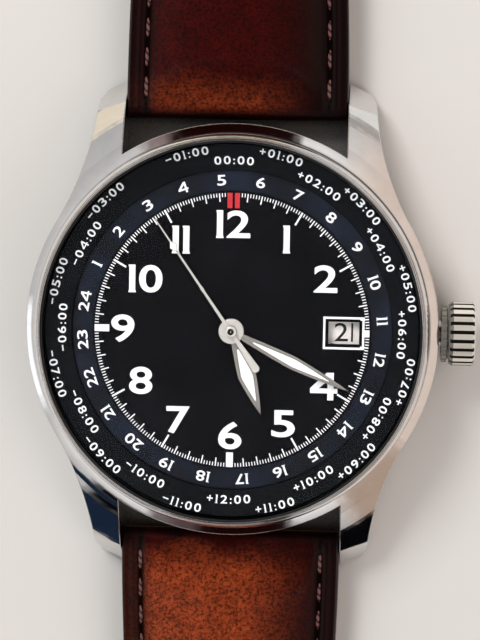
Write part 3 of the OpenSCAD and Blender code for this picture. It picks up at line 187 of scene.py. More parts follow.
class Paint(Graph):
    """A surface material whose patterns are read in millimetres on the object."""

    def __init__(self, name: str) -> None:
        self.material = bpy.data.materials.new(name)
        self.material.use_nodes = True
        super().__init__(self.material.node_tree)
        self.tree.nodes.clear()
        self.place = self.aim("MULTIPLY", self.get("ShaderNodeTexCoord", out="Object"), (1 / MM,) * 3)

    def stretch(self, scale: Point, turn: float = 0.0) -> Value:
        """The place on the object, turned about Z and then scaled, for grain that runs one way."""
        inputs = {"Vector": self.place, "Rotation": (0, 0, math.radians(turn))}
        turned = self.get("ShaderNodeMapping", inputs)
        return self.get("ShaderNodeMapping", {"Vector": turned, "Scale": scale})

    def noise(self, scale: float, detail: float = 3.0, rough: float = 0.5, at: Value | None = None) -> Value:
        """Noise from 0 to 1, with scale in waves for each millimetre."""
        inputs = {"Vector": at or self.place, "Scale": scale, "Detail": detail, "Roughness": rough}
        return self.get("ShaderNodeTexNoise", inputs, "Fac")

    def cells(self, scale: float, random: float = 1.0, at: Value | None = None) -> Value:
        """Distance to the nearest of many scattered points."""
        inputs = {"Vector": at or self.place, "Scale": scale, "Randomness": random}
        return self.get("ShaderNodeTexVoronoi", inputs, "Distance")

    def spread(
        self, value: Value, low: float, high: float, to_low: float = 0.0, to_high: float = 1.0
    ) -> Value:
        """Maps a value from one range to another and holds it there."""
        inputs = {0: value, 1: low, 2: high, 3: to_low, 4: to_high}
        return self.get("ShaderNodeMapRange", inputs, clamp=True)

    def blend(self, share: object, first: object, second: object) -> Value:
        """Mixes two colours."""
        return self.get("ShaderNodeMix", {0: share, 6: first, 7: second}, 2, data_type="RGBA")

    def bump(self, height: Value, depth: float, normal: Value | None = None) -> Value:
        """A normal bent by a height from 0 to 1 that stands for a depth in millimetres."""
        inputs = {"Height": height, "Distance": depth * MM, "Strength": 1.0}
        return self.get("ShaderNodeBump", inputs | ({"Normal": normal} if normal else {}))

    def rounded(self, radius: float) -> Value:
        """A normal that rounds sharp edges off over a radius in millimetres."""
        return self.get("ShaderNodeBevel", {"Radius": radius * MM}, samples=6)

    def openness(self, reach: float) -> Value:
        """From 0 in a seam or groove to 1 in the open, over a reach in millimetres."""
        return self.get("ShaderNodeAmbientOcclusion", {"Distance": reach * MM}, "AO", samples=8)

    def principled(self, colour: object, **inputs: object) -> Value:
        """A Principled shader; its other sockets are named with underscores for spaces."""
        sockets = {key.replace("_", " "): value for key, value in inputs.items()}
        return self.get("ShaderNodeBsdfPrincipled", {"Base Color": colour} | sockets)

    def end(self, shader: Value) -> bpy.types.Material:
        """Ends the material in a shader."""
        self.get("ShaderNodeOutputMaterial", {"Surface": shader})
        return self.material


class Finish(Protocol):
    """Anything that can make a material under its own name."""

    name: str

    def material(self) -> bpy.types.Material:
        """Makes the material."""


class Cut(Enum):
    """How a metal surface is worked."""

    MIRROR = "polished by hand"
    ROUND = "brushed round the movement's axis"
    RAYS = "brushed outwards from the centre"
    ALONG_X = "brushed along X"
    STRIPES = "broad stripes across the bridges"
    PEARLS = "overlapping round spots"


@dataclass(frozen=True)
class Metal:
    """Bare or plated metal with the marks of its working."""

    name: str
    tint: Colour
    cut: Cut = Cut.MIRROR
    roughness: float = 0.1
    depth: float = 0.002
    edge: float = 0.12
    # Reach in millimetres of painted shade in seams and grooves; 0 for none.
    seam: float = 0.0
    metallic: float = 1.0
    stripe: float = 1.9

    def pattern(self, paint: Paint) -> Value:
        """Height of the tool marks, from 0 to 1."""
        x, y, z = paint.parts(paint.place)
        if self.cut is Cut.ALONG_X:
            return paint.noise(1.0, 4, 0.6, paint.stretch((0.35, 28, 28)))
        if self.cut in (Cut.ROUND, Cut.RAYS):
            out, round_ = (26.0, 1.2) if self.cut is Cut.ROUND else (0.25, 130.0)
            radius, angle = paint.calc("SQRT", x**2.0 + y**2.0), paint.calc("ARCTAN2", y, x)
            return paint.noise(1.0, 3, 0.6, paint.vector(radius * out, angle * round_, z))
        if self.cut is Cut.STRIPES:
            across, along, _ = paint.parts(paint.stretch((1, 1, 1), 38))
            bowl = ((paint.calc("FRACT", across / self.stripe) - 0.5) * 2.0) ** 2.0
            lines = paint.noise(1.0, 2, 0.5, paint.vector((along + bowl * 0.5) * 22.0, across, z))
            return bowl * 0.8 + lines * 0.2
        if self.cut is Cut.PEARLS:
            reach = paint.cells(0.85, 0.0, paint.vector(x, y * 1.15, 0.0))
            return paint.calc("SINE", reach * 70.0) * 0.15 + reach * 0.7
        hair = paint.cells(1.4, 1.0, paint.stretch((0.5, 9, 9), 31))
        return paint.spread(hair, 0.0, 0.06) * paint.noise(0.6, 3)

    def material(self) -> bpy.types.Material:
        """Makes the metal, with smudges in its gloss, softened edges and painted shade in its seams where the
        finish has a reach for it.
        """
        paint = Paint(self.name)
        marks, smudge = self.pattern(paint), paint.noise(0.45, 4, 0.6)
        gloss = paint.spread(smudge, 0.35, 0.7, -0.25, 0.35) + paint.spread(marks, 0, 1, 0.9, 1.15)
        colour = paint.blend(paint.spread(smudge, 0.3, 0.75), self.tint, dimmed(self.tint, 0.9))
        normal = paint.rounded(self.edge)
        if self.cut is Cut.MIRROR:
            normal = paint.bump(paint.noise(0.32, 2), 0.03, normal)
        normal = paint.bump(marks, self.depth, normal)
        skin = {"Metallic": self.metallic, "Roughness": gloss * self.roughness, "Normal": normal}
        return paint.end(paint.principled(self.soil(paint, colour), **skin))

    def soil(self, paint: Paint, colour: Value) -> Value:
        """The metal's colour with painted shade in its seams and grooves, where the finish has a reach for
        it.
        """
        if not self.seam:
            return colour
        # Painted shade: near black where the surface is closed in.
        return paint.blend(paint.spread(paint.openness(self.seam), 0.3, 0.8), (0.02, 0.019, 0.019), colour)


@dataclass(frozen=True)
class Fluted(Metal):
    """The crown's steel, with painted shade in its flutes and on its neck."""

    flutes: int = 22
    radius: float = 3.0
    axis_z: float = 4.6
    share: float = 0.24
    neck_x: float = 20.72

    def soil(self, paint: Paint, colour: Value) -> Value:
        """The steel's colour with painted shade: nearly black where a flute lies below the rim, and dark on
        the neck.
        """
        x, y, z = paint.parts(paint.place)
        z = z - self.axis_z
        neck = paint.spread(x, self.neck_x - 0.02, self.neck_x + 0.02, 0.72, 0.0)
        reach = paint.calc("SQRT", y * y + z * z)
        turn = paint.calc("ARCTAN2", z, y) * (self.flutes / (2 * math.pi))
        place = paint.calc("ABSOLUTE", paint.calc("FRACT", turn) - 0.5)
        inside = paint.spread(place, 0.47 - self.share, 0.53 - self.share)
        below = paint.spread(reach, self.radius - 0.02, self.radius - 0.004, 1.0, 0.0)
        above = paint.spread(reach, self.radius - 0.2, self.radius - 0.16)
        # Painted shade in the flutes and on the neck.
        dark = paint.calc("MAXIMUM", neck, inside * below * above)
        return paint.blend(dark, super().soil(paint, colour), (0.008, 0.007, 0.006))


@dataclass(frozen=True)
class Lacquer:
    """Poured black lacquer with a trace of dust and ripple."""

    name: str
    tint: Colour
    sheen: Colour
    roughness: float
    shine: float

    def material(self) -> bpy.types.Material:
        """Makes the lacquer, with cloudy tint and an even low shine."""
        paint = Paint(self.name)
        dust = paint.spread(paint.noise(7.0, 2, 0.7), 0.66, 0.8)
        colour = paint.blend(paint.spread(paint.noise(0.22, 4, 0.6), 0.4, 0.68), self.tint, self.sheen)
        colour = paint.blend(dust * 0.03, colour, (0.5, 0.5, 0.55))
        rough = paint.spread(dust, 0, 1, self.roughness, self.roughness * 1.8)
        ripple = paint.bump(paint.noise(1.6, 3), 0.0015, paint.rounded(0.05))
        skin = {"Roughness": rough, "Specular_IOR_Level": self.shine, "Normal": ripple}
        return paint.end(paint.principled(colour, **skin))


@dataclass(frozen=True)
class Ink:
    """Thick printed or filled colour with a fine grain."""

    name: str
    tint: Colour
    roughness: float = 0.5
    grain: float = 6.0
    depth: float = 0.006
    uneven: float = 0.12

    def material(self) -> bpy.types.Material:
        """Makes the ink, a little thinner in places."""
        paint = Paint(self.name)
        grain = paint.noise(self.grain, 4, 0.65)
        colour = paint.blend(paint.spread(grain, 0.35, 0.65), dimmed(self.tint, 1 - self.uneven), self.tint)
        rough = paint.spread(grain, 0.3, 0.7, self.roughness * 0.85, self.roughness * 1.15)
        skin = {"Roughness": rough, "Specular_IOR_Level": 0.35, "Normal": paint.bump(grain, self.depth)}
        return paint.end(paint.principled(colour, **skin))


@dataclass(frozen=True)
class Glass:
    """Clear or tinted crystal that lets the lamps' light through to what is under it."""

    name: str
    tint: Colour
    ior: float
    shine: float
    passing: float = 0.96

    def material(self) -> bpy.types.Material:
        """Makes the glass; a shadow ray passes it as light does."""
        paint = Paint(self.name)
        smear = paint.spread(paint.noise(0.3, 4, 0.6), 0.45, 0.8, 0.0, 0.012)
        skin = {"Roughness": smear, "IOR": self.ior, "Transmission_Weight": 1.0}
        solid = paint.principled(self.tint, **skin, Specular_IOR_Level=self.shine)
        clear = paint.get("ShaderNodeBsdfTransparent", {0: dimmed(self.tint, self.passing)})
        shadow = paint.get("ShaderNodeLightPath", out="Is Shadow Ray")
        return paint.end(paint.get("ShaderNodeMixShader", {0: shadow, 1: solid, 2: clear}))


@dataclass(frozen=True)
class Rubber:
    """Dull black rubber for the gaskets."""

    name: str
    tint: Colour = (0.012, 0.012, 0.013)

    def material(self) -> bpy.types.Material:
        """Makes the rubber with a fine matt grain."""
        paint = Paint(self.name)
        grain = paint.noise(9.0, 3)
        colour = paint.blend(grain, self.tint, dimmed(self.tint, 1.6))
        skin = {"Roughness": paint.spread(grain, 0.3, 0.7, 0.5, 0.7), "Normal": paint.bump(grain, 0.01)}
        return paint.end(paint.principled(colour, **skin))


@dataclass(frozen=True)
class Leather:
    """Waxed calf leather, burnished from bare tan to burgundy and nearly black margins, with painted light
    and shade laid over it.

    The colours follow the piece's own layout: across is the distance in millimetres outside the
    stitch line, and along is the distance from the spring bar.
    """

    name: str
    tan: Colour = shade(172, 74, 38)
    body: Colour = shade(70, 11, 7)
    edge: Colour = shade(20, 5, 5)
    # Darkest tone: painted shade towards positive x, and the random clouds and pores.
    night: Colour = shade(12, 5, 5)
    pores: float = 3.2
    depth: float = 0.035
    groove: float = 0.46

    def patina(self, paint: Paint, along: Value) -> Value:
        """Share of burnished tan, laid out as painted light: a lit 6 o'clock half, a painted highlight strip
        by the case on the other half, and painted shade that takes the tan away towards positive x.
        """
        x, y, _ = paint.parts(paint.place)
        drift = (paint.noise(0.2, 3, 0.55) - 0.5) * 4.0
        far = along + drift
        low = paint.spread(far, -0.6, 2.4) * paint.spread(far, 30.0, 62.0, 1.0, 0.35)
        painted_highlight_band = paint.spread(along, -1.1, -0.3, 0.0, 0.5) * paint.spread(far, 0.6, 3.4, 1.0, 0.0)
        painted_highlight_band = painted_highlight_band + paint.spread(far, 18.0, 40.0, 0.0, 0.2)
        upper = paint.spread(y, -1.0, 1.0)
        # Painted shade: the tan fades out towards positive x, on both halves.
        return (painted_highlight_band * upper + low * (1.0 - upper)) * paint.spread(x + drift, 1.0, 7.5, 1.0, 0.0)

    def material(self) -> bpy.types.Material:
        """Makes the leather with pores, creases, dark margins, the stitch groove, and painted light and
        shade.
        """
        paint = Paint(self.name)
        across, along, _ = paint.parts(paint.get("ShaderNodeUVMap", uv_map="layout"))
        across, along = across * 100.0, along * 200.0
        x, y, _ = paint.parts(paint.place)
        grain, cloud = paint.noise(self.pores, 4, 0.8), paint.noise(0.7, 4, 0.6)
        pores = paint.spread(paint.cells(4.6), 0.08, 0.3, 1.0, 0.0)
        crease = paint.spread(paint.noise(1.0, 3, 0.6, paint.stretch((0.16, 1.7, 0.4))), 0.5, 0.62)
        # Painted shade: darker towards positive x, more on the 12 o'clock half.
        right_side_shade = paint.spread(x + cloud * 2.0, 3.2, 9.0) * paint.spread(y, -1.0, 1.0, 0.45, 0.95)
        margin = paint.spread(across + cloud * 1.2, -0.7, 0.9, 0.0, 0.9)
        # Also painted shade on the fold round the spring bar, on the side that faces the case.
        margin = paint.calc("MAXIMUM", margin, paint.spread(along, -1.3, -0.7, 0.85, 0.0))
        trench = paint.calc("ABSOLUTE", across - 0.05)
        layers = (
            (right_side_shade, self.night),
            (margin, self.edge),
            (paint.spread(cloud, 0.38, 0.62, 0.28, 0.0), self.night),
            (paint.spread(grain, 0.4, 0.56, 0.8, 0.0), self.edge),
            (pores * 0.45, self.night),
            # Painted shade: near black along the stitch groove.
            (paint.spread(trench, 0.1, self.groove, 0.95, 0.0), (0.004, 0.0015, 0.0015)),
        )
        colour = paint.blend(self.patina(paint, along), self.body, self.tan)
        for share, layer in layers:
            colour = paint.blend(share, colour, layer)
        height = grain * 0.8 + pores * -0.25 - crease * 0.2
        gloss = {"Specular_IOR_Level": 0.07, "Coat_Weight": 0.07, "Coat_Roughness": 0.12}
        rough = paint.spread(grain, 0.35, 0.6, 0.42, 0.3)
        skin = {"Roughness": rough, "Normal": paint.bump(height, self.depth)}
        return paint.end(paint.principled(colour, **gloss, **skin))


@dataclass(frozen=True)
class Hide:
    """Plain leather parts: the lining, the painted edges and the thread."""

    name: str
    tint: Colour
    dark: Colour
    grain: float
    depth: float
    roughness: float
    twist: float = 0.0

    def material(self) -> bpy.types.Material:
        """Makes the surface; twist above 0 gives thread its turned strands."""
        paint = Paint(self.name)
        grain = height = paint.noise(self.grain, 5, 0.65)
        if self.twist:
            x, y, z = paint.parts(paint.place)
            strands = paint.calc("SINE", y * self.twist + x * (self.twist * 0.8) + z * (self.twist * 0.5))
            height = paint.spread(strands, -1, 1) + grain * 0.4
        # Darker where lower: grain tone on lining and edge paint, and painted shade between the thread's
        # strands.
        colour = paint.blend(paint.spread(height, 0.3, 0.75), self.dark, self.tint)
        rough = paint.spread(grain, 0.3, 0.7, self.roughness * 0.85, self.roughness * 1.1)
        return paint.end(paint.principled(colour, Roughness=rough, Normal=paint.bump(height, self.depth)))


# Finishes given a seam reach carry painted shade in their seams.
POLISHED = Metal("polished_steel", shade(232, 230, 229), Cut.MIRROR, 0.06, 0.0006, 0.16, 0.4)
HAND_STEEL = Metal("hand_steel", shade(206, 201, 196), Cut.ALONG_X, 0.18, 0.0003, 0.02, 0.1, 0.5)
# A darker copy of the hand steel for the blades' sloping faces: painted shade.
SHADED_BEVEL_STEEL = Metal("bevel_steel_painted_shade", shade(150, 146, 142), Cut.ALONG_X, 0.2, 0.0003, 0.02, 0.06, 0.7)
# Near black steel for the floor of the seconds cap's hole: painted shade.
BORE_SHADE = Metal("bore_painted_shade", shade(26, 24, 24), Cut.ALONG_X, 0.4, 0.001, 0.02)
CROWN_STEEL = Fluted("crown_steel", shade(250, 246, 236), Cut.MIRROR, 0.22, 0.0008, 0.05, 0.0, 0.42)
BACK_STEEL = Metal("back_steel", shade(206, 205, 206), Cut.ROUND, 0.27, 0.006, 0.12)
FINE_STEEL = Metal("fine_steel", shade(200, 200, 203), Cut.ALONG_X, 0.22, 0.003, 0.03)
GILT = Metal("gilt_wheel", shade(226, 178, 92), Cut.ROUND, 0.24, 0.004, 0.03)
DRUM = Metal("gilt_drum", shade(222, 176, 96), Cut.RAYS, 0.26, 0.004, 0.05)
BRIDGE = Metal("striped_bridge", shade(212, 210, 204), Cut.STRIPES, 0.26, 0.03, 0.09)
PLATE = Metal("spotted_plate", shade(206, 203, 196), Cut.PEARLS, 0.3, 0.02, 0.06)
ROTOR = Metal("rotor_metal", shade(214, 211, 206), Cut.RAYS, 0.26, 0.006, 0.09)
BLUED = Metal("blued_steel", shade(40, 62, 150), Cut.MIRROR, 0.16, 0.001, 0.04)
SPRING = Metal("blued_spring", shade(60, 78, 140), Cut.MIRROR, 0.22, 0.001, 0.01)
BALANCE = Metal("balance_metal", shade(228, 186, 108), Cut.ROUND, 0.18, 0.002, 0.03)
DIAL_BLACK = Lacquer("dial_lacquer", shade(7, 7, 10), shade(14, 14, 18), 0.22, 0.05)
RING_BLACK = Lacquer("ring_lacquer", shade(10, 12, 19), shade(22, 29, 44), 0.2, 0.14)
RIM_BLACK = Lacquer("rim_lacquer", shade(8, 9, 12), shade(13, 15, 19), 0.24, 0.06)
WHITE = Ink("white_print", shade(238, 238, 241))
RED = Ink("red_print", shade(186, 36, 46), 0.42)
LUME = Ink("lume", shade(236, 233, 240), 0.7, 9.0, 0.02, 0.1)
HAND_LUME = Ink("hand_lume", shade(246, 245, 238), 0.75, 9.0, 0.015, 0.06)
DATE_WHITE = Ink("date_silver", shade(226, 219, 216), 0.34, 3.0, 0.003, 0.06)
DATE_INK = Ink("date_ink", shade(12, 12, 14), 0.5)
CRYSTAL = Glass("crystal_glass", (0.985, 0.99, 0.995), 1.1, 0.04)
WINDOW = Glass("window_glass", (0.985, 0.99, 0.99), 1.45, 0.35)
RUBY = Glass("ruby", shade(236, 40, 88), 1.76, 0.5, 0.8)
GASKET = Rubber("gasket_rubber")
CALF = Leather("burnished_calf")
LOOP = Leather("loop_calf", shade(120, 46, 24), shade(84, 24, 13), shade(44, 13, 11))
LINING = Hide("calf_lining", shade(176, 124, 78), shade(140, 92, 54), 3.0, 0.04, 0.66)
EDGE_PAINT = Hide("edge_paint", shade(26, 10, 9), shade(12, 5, 5), 2.0, 0.02, 0.4)
THREAD = Hide("waxed_thread", shade(128, 84, 80), shade(36, 14, 15), 6.0, 0.05, 0.36, 9.0)

# CAD nodes that keep their own shape, by finish
DRESSED: dict[Finish, str] = {
    POLISHED: "case_middle bezel buckle_frame buckle_tongue",
    FINE_STEEL: "crown_tube spring_bars barrel_arbor ratchet_wheel escape_wheel pallet_fork rotor_bearing"
    " stem sliding_pinion buckle_bar",
    GASKET: "crystal_gasket back_gasket crown_gasket",
    CRYSTAL: "crystal",
    WINDOW: "back_window",
    BACK_STEEL: "case_back",
    CROWN_STEEL: "crown",
    DIAL_BLACK: "dial",
    RING_BLACK: "ring_24h",
    RIM_BLACK: "offset_ring",
    DATE_WHITE: "date_disc",
    HAND_STEEL: "seconds_hand cannon_pinion",
    PLATE: "main_plate holder_ring date_keeper_plate",
    BRIDGE: "barrel_bridge train_bridge balance_cock pallet_bridge",
    ROTOR: "rotor",
    GILT: "ring_idler hour_wheel minute_wheel fourth_wheel third_wheel second_wheel",
    DRUM: "barrel barrel_cover",
    SPRING: "mainspring hairspring",
    BLUED: "bridge_screws",
    BALANCE: "balance_wheel",
    RUBY: "jewels",
}


# Meshes


def new_object(name: str, data: bpy.types.ID) -> bpy.types.Object:
    """An object at the origin, in the scene."""
    obj = bpy.data.objects.new(name, data)
    bpy.context.scene.collection.objects.link(obj)
    return obj


def in_metres(points: Iterable[Point]) -> list[Point]:
    """Points for a mesh."""
    return [(x * MM, y * MM, z * MM) for x, y, z in points]


def smooth(mesh: bpy.types.Mesh, crease: float) -> None:
    """Shades smoothly up to a crease angle."""
    mesh.polygons.foreach_set("use_smooth", [True] * len(mesh.polygons))
    mesh.set_sharp_from_angle(angle=math.radians(crease))


def tidy_mesh(mesh: bpy.types.Mesh, crease: float = 35) -> None:
    """Closes seams, turns faces outwards and shades smoothly up to a crease angle."""
    work = bmesh.new()
    work.from_mesh(mesh)
    bmesh.ops.remove_doubles(work, verts=work.verts, dist=1e-7)
    bmesh.ops.recalc_face_normals(work, faces=work.faces)
    work.to_mesh(mesh)
    work.free()
    smooth(mesh, crease)
    mesh.update()


def made_mesh(obj: bpy.types.Object) -> bpy.types.Mesh:
    """The plain mesh that an object's text or live modifiers make; the object goes."""
    graph = bpy.context.evaluated_depsgraph_get()
    mesh = bpy.data.meshes.new_from_object(obj.evaluated_get(graph), depsgraph=graph)
    mesh.name = obj.name
    bpy.data.objects.remove(obj)
    return mesh


class Shape:
    """Points and faces in millimetres, gathered before they become one object."""

    def __init__(self) -> None:
        self.points: list[Point] = []
        self.faces: list[tuple[int, ...]] = []
        self.slots: list[int] = []
        self.layout: list[Flat] = []

    def add(
        self, points: Iterable[Point], faces: Sequence[Sequence[int]], slots: Sequence[int] = ()
    ) -> Shape:
        """Adds faces, numbered from the first of the new points, in slot 0 unless told."""
        start = len(self.points)
        self.points += [tuple(p) for p in points]
        self.faces += [tuple(start + i for i in face) for face in faces]
        self.slots += slots or [0] * len(faces)
        return self

    def prism(self, outline: Sequence[Flat], low: float, high: float) -> Shape:
        """A flat outline, counter-clockwise, with a height."""
        n = len(outline)
        faces = [tuple(range(n - 1, -1, -1)), tuple(range(n, 2 * n))]
        faces += [(i, (i + 1) % n, n + (i + 1) % n, n + i) for i in range(n)]
        return self.add([(x, y, z) for z in (low, high) for x, y in outline], faces)

    def box(self, x0: float, x1: float, y0: float, y1: float, low: float, high: float) -> Shape:
        """A block between two corners."""
        return self.prism([(x0, y0), (x1, y0), (x1, y1), (x0, y1)], low, high)

    def rod(self, radius: float, low: float, high: float, steps: int = 28) -> Shape:
        """A round bar along Z."""
        return self.prism([polar(radius, 360 * i / steps) for i in range(steps)], low, high)

    def loft(
        self, rows: Sequence[Sequence[Point]], slot: Callable[[int], int] = lambda _: 0, ring: bool = False
    ) -> Shape:
        """A skin over closed rows of equal length.

        Args:
            rows: Each row runs counter-clockwise as seen against the way that the rows advance.
            slot: Gives the material slot from a face's place in its row.
            ring: Joins the last row to the first, in place of closing both ends.

        Returns:
            The shape itself.
        """
        n, count = len(rows[0]), len(rows)
        faces, slots = [], []
        for i in range(count if ring else count - 1):
            a, b = i * n, (i + 1) % count * n
            faces += [(a + j, a + (j + 1) % n, b + (j + 1) % n, b + j) for j in range(n)]
            slots += [slot(j) for j in range(n)]
        if not ring:
            faces += [tuple(range(n - 1, -1, -1)), tuple(range((count - 1) * n, count * n))]
            slots += [slot(0)] * 2
        return self.add([p for row in rows for p in row], faces, slots)

    def turned(self, profile: Sequence[Flat], steps: int) -> Shape:
        """A closed profile of radius and height, turned round Z."""
        turns = [polar(1, 360 * i / steps) for i in range(steps)]
        return self.loft([[(r * c, r * s, z) for r, z in profile] for c, s in turns], ring=True)

    def join(self, other: Shape, matrix: Matrix) -> Shape:
        """Adds another shape, moved by a matrix in millimetres."""
        return self.add([matrix @ Vector(p) for p in other.points], other.faces, other.slots)

    def object(
        self, name: str, materials: Sequence[bpy.types.Material], crease: float = 35
    ) -> bpy.types.Object:
        """Makes the object at the origin, with its faces turned outwards.

        Args:
            name: Name of the piece.
            materials: One for each slot.
            crease: Edges sharper than this many degrees stay sharp.

        Returns:
            The new object, in the scene.
        """
        mesh = bpy.data.meshes.new(name)
        mesh.from_pydata(in_metres(self.points), [], self.faces)
        for material in materials:
            mesh.materials.append(material)
        mesh.polygons.foreach_set("material_index", self.slots)
        if self.layout:
            layer = mesh.uv_layers.new(name="layout")
            for loop in mesh.loops:
                layer.data[loop.index].uv = self.layout[loop.vertex_index]
        tidy_mesh(mesh, crease)
        return new_object(name, mesh)


class Workshop:
    """Holds the frame, makes each material once, and hands pieces over to their bodies."""

    def __init__(self, frame: dict) -> None:
        self.nodes: dict[str, bpy.types.Object] = frame["nodes"]
        self.paints: dict[Finish, bpy.types.Material] = {}

    def paint(self, finish: Finish) -> bpy.types.Material:
        """The finish's material, made when it is first asked for."""
        if finish not in self.paints:
            self.paints[finish] = finish.material()
        return self.paints[finish]

    def dress(self, finish: Finish, names: str) -> None:
        """Gives CAD nodes a finish."""
        for name in names.split():
            for slot in self.nodes[name].material_slots:
                slot.material = self.paint(finish)
        LOG.info("%s: %s", finish.name, names)

    def deliver(self, obj: bpy.types.Object, body: str, slot: str, *instead: str) -> None:
        """Fixes a piece to its body, in place of any CAD nodes named."""
        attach(obj, body)
        if instead:
            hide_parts(*instead)
        LOG.info("%s on %s, %d faces", obj.name, body, len(obj.data.polygons))

    def piece(
        self, shape: Shape, name: str, body: str, finishes: Sequence[Finish], slot: str, *instead: str,
        crease: float = 35,
    ) -> None:
        """Makes a shape's object and delivers it."""
        obj = shape.object(name, [self.paint(finish) for finish in finishes], crease)
        self.deliver(obj, body, slot, *instead)


# Geometry recipes


class Recipe(Graph):
    """A Geometry Nodes group with named inputs, which repeats a small form."""

    def __init__(self, name: str) -> None:
        super().__init__(bpy.data.node_groups.new(name, "GeometryNodeTree"))
        for way in ("INPUT", "OUTPUT"):
            self.tree.interface.new_socket("Geometry", in_out=way, socket_type="NodeSocketGeometry")
        self.start = self.tree.nodes.new("NodeGroupInput")

    def input(self, name: str, kind: str = "Float") -> Value:
        """Adds a named input and returns its value inside the group."""
        self.tree.interface.new_socket(name, in_out="INPUT", socket_type=f"NodeSocket{kind}")
        return Value(self, self.start.outputs[name])

    def repeat(self, points: Value, form: Value, turn: Value) -> Recipe:
        """Sets a form on points, makes it real, gives it the material and ends the group."""
        inputs = {"Points": points, "Instance": form, "Rotation": turn}
        real = self.get("GeometryNodeRealizeInstances", {0: self.get("GeometryNodeInstanceOnPoints", inputs)})
        inputs = {"Geometry": real, "Material": self.input("Material", "Material")}
        end = self.tree.nodes.new("NodeGroupOutput")
        self.tree.links.new(self.get("GeometryNodeSetMaterial", inputs).socket, end.inputs[0])
        return self

    def make(
        self, name: str, path: Sequence[Point], material: bpy.types.Material, **values: float
    ) -> bpy.types.Object:
        """Runs the recipe.

        Args:
            name: Name of the object.
            path: Row of points that the recipe may follow.
            material: Material of the repeated form.
            **values: Value of each named input; lengths are in metres.

        Returns:
            A new object with a plain mesh.
        """
        mesh = bpy.data.meshes.new("path")
        mesh.from_pydata(in_metres(path), [(i, i + 1) for i in range(len(path) - 1)], [])
        obj = new_object(name, mesh)
        step = obj.modifiers.new("recipe", "NODES")
        step.node_group = self.tree
        inputs = [item for item in self.tree.interface.items_tree if item.in_out == "INPUT"]
        names = {item.name: item.identifier for item in inputs}
        for key, value in {**values, "Material": material}.items():
            step[names[key]] = value
        made = made_mesh(obj)
        tidy_mesh(made)
        return new_object(name, made)


def bar_recipe() -> Recipe:
    """Bars set round a centre like the marks of a dial, in runs with gaps between them."""
    recipe = Recipe("dial_bars")
    count, run = recipe.input("Count", "Int"), recipe.input("Run", "Int")
    names = ("Radius", "Length", "Width", "Thickness", "Height", "Step")
    outer, length, width, thick, height, step = (recipe.input(name) for name in names)
    index = recipe.get("GeometryNodeInputIndex")
    place = index + recipe.calc("FLOOR", (index + 0.01) / run) + 1.0
    angle = math.pi / 2 - place * step
    middle = outer - length * 0.5
    x, y = (middle * recipe.calc(part, angle) for part in ("COSINE", "SINE"))
    inputs = {
        "Geometry": recipe.get("GeometryNodeMeshLine", {"Count": count}),
        "Position": recipe.vector(x, y, height + thick * 0.5),
    }
    points = recipe.get("GeometryNodeSetPosition", inputs)
    bar = recipe.get("GeometryNodeMeshCube", {"Size": recipe.vector(length, width, thick)})
    turn = recipe.get("FunctionNodeEulerToRotation", {0: recipe.vector(0.0, 0.0, angle)})
    return recipe.repeat(points, bar, turn)


def stitch_recipe() -> Recipe:
    """Stitches along a path: short arched threads whose ends dip into the leather."""
    recipe = Recipe("stitch_row")
    pitch, length, thick, rise = (recipe.input(name) for name in ("Pitch", "Length", "Thickness", "Rise"))
    path = recipe.get("GeometryNodeMeshToCurve", {0: Value(recipe, recipe.start.outputs[0])})
    points = recipe.get("GeometryNodeResampleCurve", {"Curve": path, "Length": pitch}, mode="LENGTH")
    inputs = {"Vector": recipe.get("GeometryNodeInputTangent")}
    facing = recipe.get("FunctionNodeAlignEulerToVector", inputs, axis="X", pivot_axis="Z")
    half = length * 0.5
    inputs = {"Start": recipe.vector(half * -1.0, 0.0, 0.0), "End": recipe.vector(half, 0.0, 0.0)}
    line = recipe.get("GeometryNodeCurvePrimitiveLine", inputs)
    line = recipe.get("GeometryNodeResampleCurve", {"Curve": line, "Count": 9})
    share = recipe.parts(recipe.get("GeometryNodeInputPosition"))[0] / half
    drop = recipe.calc("ABSOLUTE", share) ** 3.0 * rise
    inputs = {"Geometry": line, "Offset": recipe.vector(0.0, 0.0, drop * -1.0)}
    arch = recipe.get("GeometryNodeSetPosition", inputs)
    profile = recipe.get("GeometryNodeCurvePrimitiveCircle", {"Resolution": 8, "Radius": thick * 0.5})
    inputs = {"Curve": arch, "Profile Curve": profile, "Fill Caps": True}
    return recipe.repeat(points, recipe.get("GeometryNodeCurveToMesh", inputs), facing)


# Numerals


class Weight(Enum):
    """How heavy the figures are cut, as the stroke's growth against the letter's size."""

    LIGHT = 0.003
    MEDIUM = 0.014
    BOLD = 0.018


@dataclass(frozen=True)
class Style:
    """How a line of figures is set, in shares of a figure's height."""

    weight: Weight
    wide: float
    bar: float
    foot: float
    gap: float


HOUR_STYLE = Style(Weight.BOLD, 0.85, 0.22, 0.27, 0.11)
RING_STYLE = Style(Weight.MEDIUM, 0.84, 0.19, 0.36, 0.1)
OFFSET_STYLE = Style(Weight.MEDIUM, 0.8, 0.17, 0.34, 0.3)
DATE_STYLE = Style(Weight.LIGHT, 0.72, 0.11, 0.12, 0.16)


